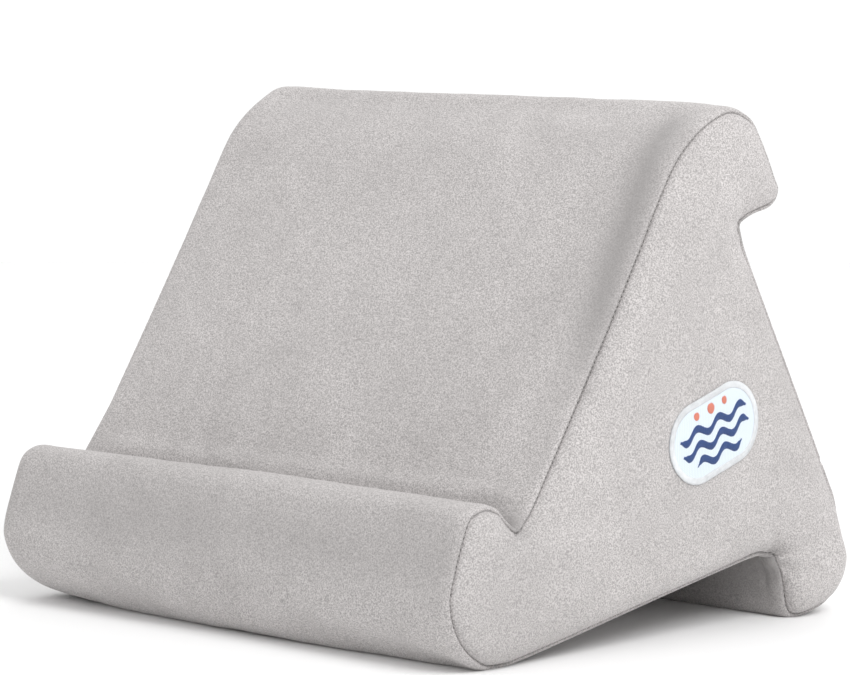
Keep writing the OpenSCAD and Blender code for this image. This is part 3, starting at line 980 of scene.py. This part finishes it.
def woven_material(name, colour, yarn, roughness=0.8, sheen=0.15):
    """Cloth of two sets of yarns across each other."""
    nodes = Nodes(name)
    warp = nodes.wave(yarn, nodes.stretched((1, 1, 1), (0, 0, math.radians(45))))
    weft = nodes.wave(yarn, nodes.stretched((1, 1, 1), (0, math.radians(90), math.radians(20))))
    relief = nodes.sum(warp, weft, nodes.noise(0.4 * MM, 2))
    darker = tuple(0.8 * value for value in colour)
    shade = nodes.mixed(nodes.spread(relief, 0.6, 2.2), darker, colour)
    nodes.bumped(relief, 0.05 * MM)
    return nodes.finish(
        Base_Color=shade, Roughness=roughness, Sheen_Weight=sheen, Specular_IOR_Level=0.3
    )


def metal_material():
    """Nickel plating, a little worn."""
    nodes = Nodes("zip_metal")
    wear = nodes.spread(nodes.noise(1.6 * MM, 4, 0.5), 0.35, 0.7, 0.22, 0.42)
    colour = nodes.mixed(nodes.noise(6 * MM, 3), (0.56, 0.55, 0.54), (0.70, 0.69, 0.68))
    nodes.bumped(nodes.noise(0.5 * MM, 3), 0.015 * MM)
    return nodes.finish(Base_Color=colour, Metallic=1.0, Roughness=wear)


def foam_material():
    """Open-cell foam."""
    nodes = Nodes("foam")
    cells = nodes.noise(1.2 * MM, 4)
    colour = nodes.mixed(cells, (0.80, 0.74, 0.56), (0.92, 0.88, 0.74))
    nodes.bumped(cells, 0.4 * MM)
    return nodes.finish(Base_Color=colour, Roughness=0.95, Specular_IOR_Level=0.2)


def floor_material():
    nodes = Nodes("floor")
    colour = nodes.mixed(nodes.noise(0.4, 1), (0.94, 0.94, 0.94), (0.96, 0.96, 0.96))
    return nodes.finish(Base_Color=colour, Roughness=0.7, Specular_IOR_Level=0.2)


def backdrop_material():
    """A white card that stays white whatever light falls on it."""
    nodes = Nodes("backdrop")
    return nodes.finish(Base_Color=(0, 0, 0), Emission_Color=(1, 1, 1), Emission_Strength=1.0)


materials = {
    "velvet": velvet_material(),
    "seam_thread": thread_material("seam_thread", (0.40, 0.385, 0.38), 0.85),
    "zip_tape": woven_material("zip_tape", (0.34, 0.33, 0.325), 0.55 * MM),
    "zip_coil": thread_material("zip_coil", (0.36, 0.35, 0.345), 0.35, 0.9 * MM),
    "zip_metal": metal_material(),
    "label_satin": woven_material("label_satin", (0.84, 0.84, 0.82), 0.3 * MM, 0.45, 0.3),
    "patch_twill": woven_material("patch_twill", (0.74, 0.82, 0.90), 0.7 * MM),
    "patch_white_thread": thread_material("patch_white_thread", (0.86, 0.88, 0.90), 0.45),
    "patch_navy_thread": thread_material("patch_navy_thread", (0.030, 0.075, 0.24), 0.45),
    "patch_coral_thread": thread_material("patch_coral_thread", (0.80, 0.27, 0.19), 0.45),
    "foam": foam_material(),
    "liner": woven_material("liner", (0.82, 0.82, 0.80), 0.8 * MM),
}


# ---------------------------------------------------------------------------------------------
# The cover panels, and the foam and liner inside them
# ---------------------------------------------------------------------------------------------


def zip_bed(s, x):
    """How far the foam and liner are pressed in behind the zip and its slider."""
    bed = np.clip((BED_W / 2 - np.abs(apart(s, S_ZIP))) / (3 * MM), 0, 1)
    bed *= np.clip((SLOT_L / 2 + 6 * MM - np.abs(x)) / (4 * MM), 0, 1)
    return BED_DEPTH * bed


def inner_block(name, inset):
    """A closed rounded block inside the cover."""
    points, faces, _, _ = closed_cover(inset, 5 * MM, zip_bed)
    return block_object(name, on_floor(points), faces)


core = finished(inner_block("foam_core_visual", CORE_INSET), "foam", "foam_core")
liner = with_thickness(inner_block("core_liner_visual", LINER_INSET), LINER_T)
finished(liner, "liner", "core_liner")

following = np.roll(outline.points, -1, axis=0)
side_area = 0.5 * abs(
    (outline.points[:, 0] * following[:, 1] - outline.points[:, 1] * following[:, 0]).sum()
)
box_size = np.ptp(outline.points, axis=0)

for node, piece in panels.items():
    with_thickness(piece, COVER_T)
    for vertex in piece.data.vertices:
        vertex.co.z = max(vertex.co.z, 0)
    finished(piece, "velvet", node)
    if node in BAND_SPANS:
        start, end = BAND_SPANS[node][:2]


# ---------------------------------------------------------------------------------------------
# Threads
# ---------------------------------------------------------------------------------------------


def unit(vectors):
    return vectors / np.linalg.norm(vectors, axis=-1, keepdims=True)


def tubes(name, paths, up, radius, sides=6):
    """Closed tubes along paths (tube, point, xyz); radius is one number or one for each point."""
    count, steps, _ = paths.shape
    along = unit(np.gradient(paths, axis=1))
    across = unit(np.cross(along, up))
    up = np.cross(across, along)
    angle = np.arange(sides) * 2 * np.pi / sides
    radius = np.broadcast_to(radius, (count, steps))[..., None, None]
    ring = across[:, :, None] * np.cos(angle)[:, None] + up[:, :, None] * np.sin(angle)[:, None]
    points = paths[:, :, None] + radius * ring
    index = np.arange(count * steps * sides).reshape(count, steps, sides)
    first, last = index[:, :-1], index[:, 1:]
    quads = np.stack([first, np.roll(first, -1, 2), np.roll(last, -1, 2), last], axis=-1)
    faces = quads.reshape(-1, 4).tolist()
    faces += index[:, 0, ::-1].tolist() + index[:, -1].tolist()
    return mesh_object(name, points.reshape(-1, 3), faces)


def stitch_paths(places, along, outward, pitch, rise):
    """Paths of short stitches that go into the cloth at both ends."""
    length = STITCH_SHARE * pitch
    t = np.linspace(-1, 1, STITCH_POINTS)
    arch = 1 - t**2
    return (
        places[:, None]
        + along[:, None] * (t * length / 2)[:, None]
        + outward[:, None] * (arch * rise - 0.4 * rise)[:, None]
    )


def stitch_radius():
    return THREAD_R * np.sqrt(1 - 0.85 * np.linspace(-1, 1, STITCH_POINTS) ** 4)


def seam_stitches(node, places, outward, pitch):
    """Stitches one pitch apart along a line of places."""
    along = unit(np.gradient(places, axis=0))
    paths = stitch_paths(places, along, outward, pitch, SEAM_STITCH_RISE)
    up = np.broadcast_to(outward[:, None], paths.shape)
    return finished(tubes(node + "_visual", paths, up, stitch_radius()), "seam_thread", node)


def side_seam(side, node):
    """The stitches all round one side."""
    count = int(outline.length / SEAM_PITCH)
    s = (np.arange(count) + 0.5) * outline.length / count
    places = on_floor(band_points(s, np.full(count, side * SEAM_X)))
    outward = unit(outward_at(s) + np.array((side, 0, 0)))
    return seam_stitches(node, places, outward, SEAM_PITCH)


def groove_seam(s_place, node):
    """The stitches across the bottom of a groove."""
    count = int(2 * SEAM_X / GROOVE_PITCH) - 1
    x = (np.arange(count) - (count - 1) / 2) * GROOVE_PITCH
    s = np.full(count, s_place)
    return seam_stitches(node, band_points(s, x), outward_at(s), GROOVE_PITCH)


side_seam(-1, "side_stitching_left")
side_seam(1, "side_stitching_right")
groove_seam(0.0, "ledge_groove_stitching")
groove_seam(S_NOTCH, "foot_notch_stitching")
groove_seam(S_LIP, "lip_groove_stitching")


# ---------------------------------------------------------------------------------------------
# The zip
# ---------------------------------------------------------------------------------------------

hinge = next(joint for joint in frame["joints"] if joint["name"] == "pull_tab_hinge")
DOWN = Vector(hinge["axis"]).normalized()
OUT = Vector((1, 0, 0)).cross(DOWN)
ZIP_ORIGIN = Vector((0, hinge["pos_m"][1], hinge["pos_m"][2])) - PIVOT_OUT * OUT
SLIDER_X = hinge["pos_m"][0]


def on_back(points):
    """Places given along the zip, down the slope and out of the back, in the row frame."""
    points = np.asarray(points, float)
    axes = np.array([(1, 0, 0), tuple(DOWN), tuple(OUT)])
    return np.array(ZIP_ORIGIN) + points @ axes


def zip_coil(node, side):
    """One row of coil loops, each a turn of nylon thread."""
    wire = 0.27 * MM
    pitch = 1.15 * MM
    turns = int((COIL_L - 2 * MM) / pitch)
    per_turn = 10
    t = np.linspace(0, turns, turns * per_turn + 1)
    angle = 2 * np.pi * t
    outer, inner = COIL_GAP / 2 + 2 * COIL_R, 0.42 * MM
    half = (outer - inner) / 2 - wire
    x = (t / turns - 0.5) * (COIL_L - 2 * MM)
    y = side * ((outer + inner) / 2 + half * np.cos(angle))
    z = -COVER_T + COIL_R + (COIL_R - wire) * np.sin(angle)
    path = on_back(np.column_stack([x, y, z]))[None]
    around = np.column_stack([0 * x, side * np.cos(angle), np.sin(angle)])
    outward = on_back(around)[None] - np.array(ZIP_ORIGIN)
    return finished(tubes(node + "_visual", path, outward, wire), "zip_coil", node)


def bevelled(name, parts, width=0.25 * MM):
    """One piece of several extruded outlines: (outline, low, high, plane) with rounded edges."""
    points, faces = [], []
    for shape, low, high, place in parts:
        start = len(points)
        count = len(shape)
        points += [place(a, b, low) for a, b in shape] + [place(a, b, high) for a, b in shape]
        faces.append([start + k for k in range(count)][::-1])
        faces.append([start + count + k for k in range(count)])
        for k in range(count):
            after = (k + 1) % count
            faces.append([start + k, start + after, start + count + after, start + count + k])
    made = mesh_object(name, points, faces, smooth=False)
    bevel = made.modifiers.new("rounded edges", "BEVEL")
    bevel.width = width
    bevel.segments = 3
    bevel.limit_method = "ANGLE"
    bevel.angle_limit = math.radians(40)
    apply_modifiers(made)
    made.data.polygons.foreach_set("use_smooth", [True] * len(made.data.polygons))
    return made


def flat_place(x0):
    """Outlines lying on the back: a along the zip from x0, b down, height out."""
    return lambda a, b, height: on_back((x0 + a, b, height))


def upright_place(x0):
    """Outlines standing on the back: a along the zip from x0, b out, thickness down the slope."""
    return lambda a, b, height: on_back((x0 + a, -height, b))


def rectangle(x0, x1, y0, y1):
    """The corners of a rectangle, anticlockwise."""
    return [(x0, y0), (x1, y0), (x1, y1), (x0, y1)]


def arc(x, y, radius, start, end, steps=12):
    """Points along an arc round (x, y), from one angle in degrees to another."""
    angles = np.radians(np.linspace(start, end, steps + 1))
    return [(x + radius * math.cos(a), y + radius * math.sin(a)) for a in angles]


def shield(length, width):
    """The slider's plate: rounded, narrower towards the tail."""
    half, side = length / 2, width / 2
    nose_corner, shoulder = (half - 1.0 * MM, 0.55 * side), (half - 3.2 * MM, side)
    right = [nose_corner, shoulder, (-half + 1.5 * MM, 0.86 * side)]
    tip = arc(-half + 2.2 * MM, 0, 2.2 * MM, 145, 215, 6)
    nose = arc(half - 2.4 * MM, 0, 2.4 * MM, -42, 42, 6)
    left = [(x, -y) for x, y in right[::-1]]
    return nose + right + tip + left


def zip_slider():
    """Two plates joined by a post, with rails at their sides and a lug for the pull tab."""
    length, width = 11 * MM, 7.8 * MM
    top, bottom, plate = 0.8 * MM, -3.6 * MM, 1 * MM
    flat = flat_place(SLIDER_X)
    upright = upright_place(SLIDER_X)
    lug = rectangle(-2 * MM, 2 * MM, top + 0.8 * MM, PIVOT_OUT)
    lug = lug[:2] + arc(0, PIVOT_OUT, 2 * MM, 0, 180)
    parts = [
        (shield(length, width), top, top + plate, flat),
        (shield(length, width), bottom, bottom + plate, flat),
        (rectangle(1 * MM, 4 * MM, -0.3 * MM, 0.3 * MM), bottom + 0.5 * MM, top + 0.5 * MM, flat),
        (lug, -1 * MM, 1 * MM, upright),
    ]
    for side in (-1, 1):
        edge = side * (width / 2 - 0.4 * MM)
        rail = rectangle(-3 * MM, 3 * MM, edge - 0.4 * MM, edge + 0.4 * MM)
        parts.append((rail, top - 0.8 * MM, top + 0.5 * MM, flat))
        parts.append((rail, bottom + 0.5 * MM, bottom + 1.6 * MM, flat))
    piece = bevelled("zip_slider_visual", parts)
    return finished(piece, "zip_metal", "zip_slider", "slider")


def zip_pull_tab():
    """A slim tab with a round hole in its end, forked round the slider's lug."""
    droop = math.radians(1.5)
    length, width, thick = 24 * MM, 5.6 * MM, 1.1 * MM
    tip = width / 2 - length

    def place(a, b, height):
        out = PIVOT_OUT + height * math.cos(droop) + a * math.sin(droop)
        return on_back((SLIDER_X + a * math.cos(droop) - height * math.sin(droop), b, out))

    inner = 1.4 * MM               # radius of the hole, and half the gap of the fork
    fork, shoulder, taper = -2.8 * MM, -3.4 * MM, -9 * MM
    neck, waist = tip + 3 * MM, 0.8 * width / 2
    half = [
        (fork, inner), (shoulder, width / 2), (taper, waist), (neck, waist), (tip + inner, inner),
    ]
    body = half + [(a, -b) for a, b in half[::-1]]
    tines = [rectangle(-3.6 * MM, 0.4 * MM, y0, y0 + inner) for y0 in (-width / 2, inner)]
    ring_outer = arc(tip, 0, width / 2, 0, 360, 40)[:-1]
    ring_inner = arc(tip, 0, inner, 0, 360, 40)[:-1]
    parts = [(tine, -thick / 2, thick / 2, place) for tine in tines]
    parts.append((body, -thick / 2, thick / 2, place))
    piece = bevelled("zip_pull_tab_visual", parts)
    ring = ring_piece(ring_outer, ring_inner, thick, place)
    pin = tubes(
        "pin",
        np.array([[place(0, y, 0) for y in np.linspace(-width / 2, width / 2, 9)]]),
        np.broadcast_to(np.array(OUT), (1, 9, 3)),
        0.5 * MM,
        16,
    )
    joined(piece, [ring, pin])
    return finished(piece, "zip_metal", "zip_pull_tab", "pull_tab")


def ring_piece(outer, inner, thick, place):
    """A flat ring with rounded edges."""
    count = len(outer)
    # How far in from its own edge each corner of one half of the section lies, and how high
    corners = ((0.10, -0.5), (0, -0.3), (0, 0.3), (0.10, 0.5))
    lines = [(outer, inner, *corner) for corner in corners]
    lines += [(inner, outer, *corner) for corner in corners[::-1]]
    profile = []
    for edge, other, share, height in lines:
        edge, other = np.array(edge), np.array(other)
        flat = edge + (other - edge) * share
        profile += [place(a, b, height * thick) for a, b in flat]
    points = np.array(profile)
    index = np.arange(len(points)).reshape(-1, count)
    after = np.roll(index, -1, axis=0)
    faces = np.stack([index, np.roll(index, -1, 1), np.roll(after, -1, 1), after], axis=-1)
    return mesh_object("ring", points, faces.reshape(-1, 4))


def joined(piece, others):
    """Adds other meshes to a piece."""
    bpy.ops.object.select_all(action="DESELECT")
    for other in [piece, *others]:
        other.select_set(True)
    bpy.context.view_layer.objects.active = piece
    bpy.ops.object.join()
    return piece


def zip_stops():
    """Two small clamps at the closed end and one wide clamp at the open end."""
    end = COIL_L / 2
    low, high = -COVER_T, 0.35 * MM
    flat = flat_place(0)
    centre = COIL_GAP / 2 + COIL_R
    length, half_top, half_bottom = 2.4 * MM, 0.9 * MM, 2.5 * MM
    tops = [
        rectangle(end, end + length, side * centre - half_top, side * centre + half_top)
        for side in (-1, 1)
    ]
    bottom = [rectangle(-end - length, -end, -half_bottom, half_bottom)]
    for node, shapes in (("zip_top_stops", tops), ("zip_bottom_stop", bottom)):
        parts = [(shape, low, high, flat) for shape in shapes]
        finished(bevelled(node + "_visual", parts, 0.3 * MM), "zip_metal", node)


def spaced(half, pitch):
    """Places about a pitch apart between -half and half."""
    count = int(2 * half / pitch)
    return (np.arange(count) + 0.5) / count * 2 * half - half


def top_stitching():
    """A line of stitches round the slot, a little way from the cover's edge."""
    half_l, half_w = SLOT_L / 2 + TOP_STITCH_AWAY, SLOT_W / 2 + TOP_STITCH_AWAY
    x, y = spaced(half_l, TOP_PITCH), spaced(half_w, TOP_PITCH)
    paths = []
    for side in (-1, 1):
        long_line = (x, np.full(len(x), side * half_w), (1, 0, 0))
        short_line = (np.full(len(y), side * half_l), y, DOWN)
        for across, down, direction in (long_line, short_line):
            s = S_ZIP - down
            outward = outward_at(s)
            places = band_points(s, across) - TOP_STITCH_BED * outward
            along = np.broadcast_to(np.array(direction), places.shape)
            paths.append(stitch_paths(places, along, outward, TOP_PITCH, TOP_STITCH_RISE))
    paths = np.concatenate(paths)
    up = np.broadcast_to(np.array(OUT), paths.shape)
    piece = tubes("zip_topstitching_visual", paths, up, stitch_radius())
    return finished(piece, "seam_thread", "zip_topstitching")


zip_coil("zip_coil_upper", -1)
zip_coil("zip_coil_lower", 1)
zip_slider()
zip_pull_tab()
zip_stops()
top_stitching()
for node in ("zip_tape_upper", "zip_tape_lower"):
    tape = frame["nodes"][node]
    tape.data.materials.clear()
    tape.data.materials.append(materials["zip_tape"])


# ---------------------------------------------------------------------------------------------
# The patch and the label
# ---------------------------------------------------------------------------------------------


def surface_of(piece):
    """A piece's mesh, ready for finding places on it."""
    mesh = piece.data
    return BVHTree.FromPolygons(
        [v.co.copy() for v in mesh.vertices], [tuple(p.vertices) for p in mesh.polygons]
    )


right_surface = surface_of(panels["side_panel_right"])
left_surface = surface_of(panels["side_panel_left"])
PATCH_MIDDLE = middle_of("patch_cloth")


def side_x(surface, y, z, side):
    """X of a side panel's outer side at (y, z)."""
    hit = surface.ray_cast(Vector((side * 0.2, y, z)), Vector((-side, 0, 0)))[0]
    return hit.x if hit else side * SEAM_X


def on_patch(points):
    """Places given along the patch, up it and out from the velvet, in the row frame."""
    turn = np.array(
        [[math.cos(PATCH_TILT), math.sin(PATCH_TILT)], [-math.sin(PATCH_TILT), math.cos(PATCH_TILT)]]
    )
    shape = points.shape
    points = points.reshape(-1, 3)
    flat = points[:, :2] @ turn + np.array([PATCH_MIDDLE.y, PATCH_MIDDLE.z])
    x = [side_x(right_surface, y, z, 1) for y, z in flat]
    return np.column_stack([np.array(x) + points[:, 2], flat]).reshape(shape)


def stadium(count):
    """Points round a straight-sided oval, with their outward directions."""
    radius, straight = PATCH_H / 2, PATCH_L - PATCH_H
    bend = np.pi * radius
    along = np.arange(count) / count * 2 * (straight + bend)
    turned = np.clip(along - straight, 0, bend) + np.clip(along - 2 * straight - bend, 0, bend)
    angle = np.pi / 2 + turned / radius
    outward = np.column_stack([np.cos(angle), np.sin(angle)])
    edge = radius * outward
    edge[:, 0] += straight / 2 - np.clip(along, 0, straight)
    edge[:, 0] += np.clip(along - straight - bend, 0, straight)
    return edge, outward


def patch_cloth():
    """The patch's twill, with its rim turned down into the velvet."""
    edge, _ = stadium(PATCH_ROUND)
    rings = np.append(np.linspace(0.03, 1, PATCH_RINGS), 1.0)
    heights = np.full(len(rings), PATCH_T)
    heights[-2:] = 0.8 * PATCH_T, -0.6 * PATCH_T
    points = np.empty((len(rings), PATCH_ROUND, 3))
    points[..., :2] = edge * rings[:, None, None]
    points[..., 2] = heights[:, None]
    index = np.arange(len(rings) * PATCH_ROUND).reshape(len(rings), PATCH_ROUND)
    first, last = index[:-1], index[1:]
    quads = np.stack([first, last, np.roll(last, -1, 1), np.roll(first, -1, 1)], axis=-1)
    faces = quads.reshape(-1, 4).tolist() + [index[0].tolist()]
    piece = mesh_object("patch_cloth_visual", on_patch(points).reshape(-1, 3), faces)
    return finished(piece, "patch_twill", "patch_cloth")


def satin_stitches(node, slot, starts, ends):
    """Threads side by side from starts to ends, given on the patch, raised in the middle."""
    t = np.linspace(0, 1, STITCH_POINTS)
    flat = starts[:, None] + (ends - starts)[:, None] * t[:, None]
    height = PATCH_T + SATIN_RISE * np.sin(np.pi * t) ** 0.6 - SATIN_BED
    jitter = rng.normal(0, SATIN_JITTER, (len(starts), 1))
    heights = np.broadcast_to(height, flat.shape[:2]) + jitter
    paths = on_patch(np.concatenate([flat, heights[..., None]], axis=-1))
    up = np.broadcast_to(np.array((1.0, 0, 0)), paths.shape)
    return finished(tubes(node + "_visual", paths, up, SATIN_R), slot, node)


def patch_border():
    """Slanting threads side by side over the patch's rim."""
    edge, outward = stadium(BORDER_THREADS)
    slant = np.roll(edge, 2, axis=0) - edge
    starts, ends = edge - BORDER_W * outward + slant, edge + 0.2 * MM * outward
    return satin_stitches("patch_border", "patch_white_thread", starts, ends)


def patch_waves():
    """Three rows of waves, each stitched across its own line."""
    wave_l, spacing, drop, half_w = PATCH_L / 4, PATCH_H / 5.2, PATCH_H / 14, PATCH_H / 23
    starts, ends = [], []
    for row in (-1, 0, 1):
        waves = 2 if row < 0 else 3
        count = int(waves * wave_l / THREAD_STEP)
        u = np.linspace(-0.5, 0.5, count) * waves * wave_l
        middle = PATCH_H / 19 * np.sin(2 * np.pi * u / wave_l)
        v = middle + row * spacing - drop
        taper = np.clip(np.minimum(u - u[0], u[-1] - u) / (2 * MM), 0.25, 1) * half_w
        starts.append(np.column_stack([u - 0.35 * MM, v - taper]))
        ends.append(np.column_stack([u + 0.35 * MM, v + taper]))
    return satin_stitches(
        "patch_waves", "patch_navy_thread", np.concatenate(starts), np.concatenate(ends)
    )


def patch_dots():
    """Three dots over the waves, the middle one larger."""
    starts, ends = [], []
    for k in (-1, 0, 1):
        radius = PATCH_H / 15.5 if k == 0 else PATCH_H / 21
        v = np.arange(-radius + 0.15 * MM, radius, THREAD_STEP)
        half = np.sqrt(np.maximum(radius**2 - v**2, (0.3 * MM) ** 2))
        middle = k * PATCH_L / 6.2
        starts.append(np.column_stack([middle - half, v + PATCH_H / 3.1]))
        ends.append(np.column_stack([middle + half, v + PATCH_H / 3.1]))
    return satin_stitches(
        "patch_dots", "patch_coral_thread", np.concatenate(starts), np.concatenate(ends)
    )


patch = patch_cloth()
embroidery = [patch_border(), patch_waves(), patch_dots()]


def care_label():
    """A blank satin label, folded once and caught in the left seam on the back."""
    low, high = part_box("care_label")
    width, length, thick = 18 * MM, 27 * MM, 0.18 * MM
    centre = (low + high) / 2
    inward = np.array((-OUT.y, -OUT.z))
    upward = np.array((DOWN.y, DOWN.z)) * -1
    middle = np.array((centre.y, centre.z))
    across = np.linspace(-width / 2, width / 2, 13)
    there = np.linspace(-length / 2, length / 2, 24)
    # Each place along the folded ribbon, and how many mm it stands off the panel there
    lower = [(a, 0.25 + 0.9 * (a / length + 0.5) ** 2) for a in there]
    turns = (0.6, math.pi / 2, 2.5)
    fold = [(length / 2 + 0.6 * MM * math.sin(t), 1.5 - 0.35 * math.cos(t)) for t in turns]
    upper = [(a, 0.62 + 1.25 * (a / length + 0.5) ** 2) for a in there[::-1]]
    line = lower + fold + upper
    most_curl = 0.5 * MM
    points = []
    for a, lift in line:
        for b in across:
            y, z = middle + inward * a + upward * b
            curl = most_curl * (b / width) ** 2 * (a / length + 0.5)
            points.append((side_x(left_surface, y, z, -1) - lift * MM - curl, y, z))
    piece = mesh_object("care_label_visual", points, grid_faces(len(line), len(across)))
    with_thickness(piece, thick)
    finished(piece, "label_satin", "care_label")
    return piece


care_label()


# ---------------------------------------------------------------------------------------------
# Camera, floor and light
# ---------------------------------------------------------------------------------------------


def aimed(data, place, target):
    """Puts a camera or a light in the scene, turned towards a target."""
    made = bpy.data.objects.new(data.name, data)
    bpy.context.scene.collection.objects.link(made)
    made.location = place
    turned = (Vector(target) - made.location).to_track_quat("-Z", "Y")
    made.rotation_euler = turned.to_euler()
    return made


camera_data = bpy.data.cameras.new("camera")
camera_data.sensor_width = 36
camera_data.lens = 174.3
camera = aimed(camera_data, (1.2585, -1.2355, 0.2801), (0.0009, 0, 0.1162))
bpy.context.scene.camera = camera

floor = mesh_object("floor", [(-3, -3, 0), (3, -3, 0), (3, 3, 0), (-3, 3, 0)], [(0, 1, 2, 3)])
floor.data.materials.append(floor_material())
away = Vector((-camera.location.x, -camera.location.y, 0)).normalized() * BACKDROP_AWAY
across = away.cross(Vector((0, 0, 1))).normalized() * BACKDROP_HALF_W
up = Vector((0, 0, BACKDROP_H))
corners = [away - across, away + across, away + across + up, away - across + up]
backdrop = mesh_object("backdrop", corners, [(0, 1, 2, 3)])
backdrop.data.materials.append(backdrop_material())

# The key light, a weak fill from the front, and one from behind on the floor and the crown
for name, place, size, power in (
    ("key", (1.5, -0.25, 1.6), 1.1, 24.5),
    ("fill", (-0.9, -1.4, 1.2), 0.9, 2),
    ("back", (-1.2, 1.7, 1.3), 1.3, 9),
):
    light_data = bpy.data.lights.new(name, "AREA")
    light_data.size = size
    light_data.energy = power
    aimed(light_data, place, (0, 0, 0.1))

world = bpy.data.worlds.new("world")
world.use_nodes = True
background = world.node_tree.nodes["Background"]
background.inputs["Color"].default_value = (1, 1, 1, 1)
background.inputs["Strength"].default_value = 0.8
bpy.context.scene.world = world
bpy.context.scene.view_settings.view_transform = "Standard"
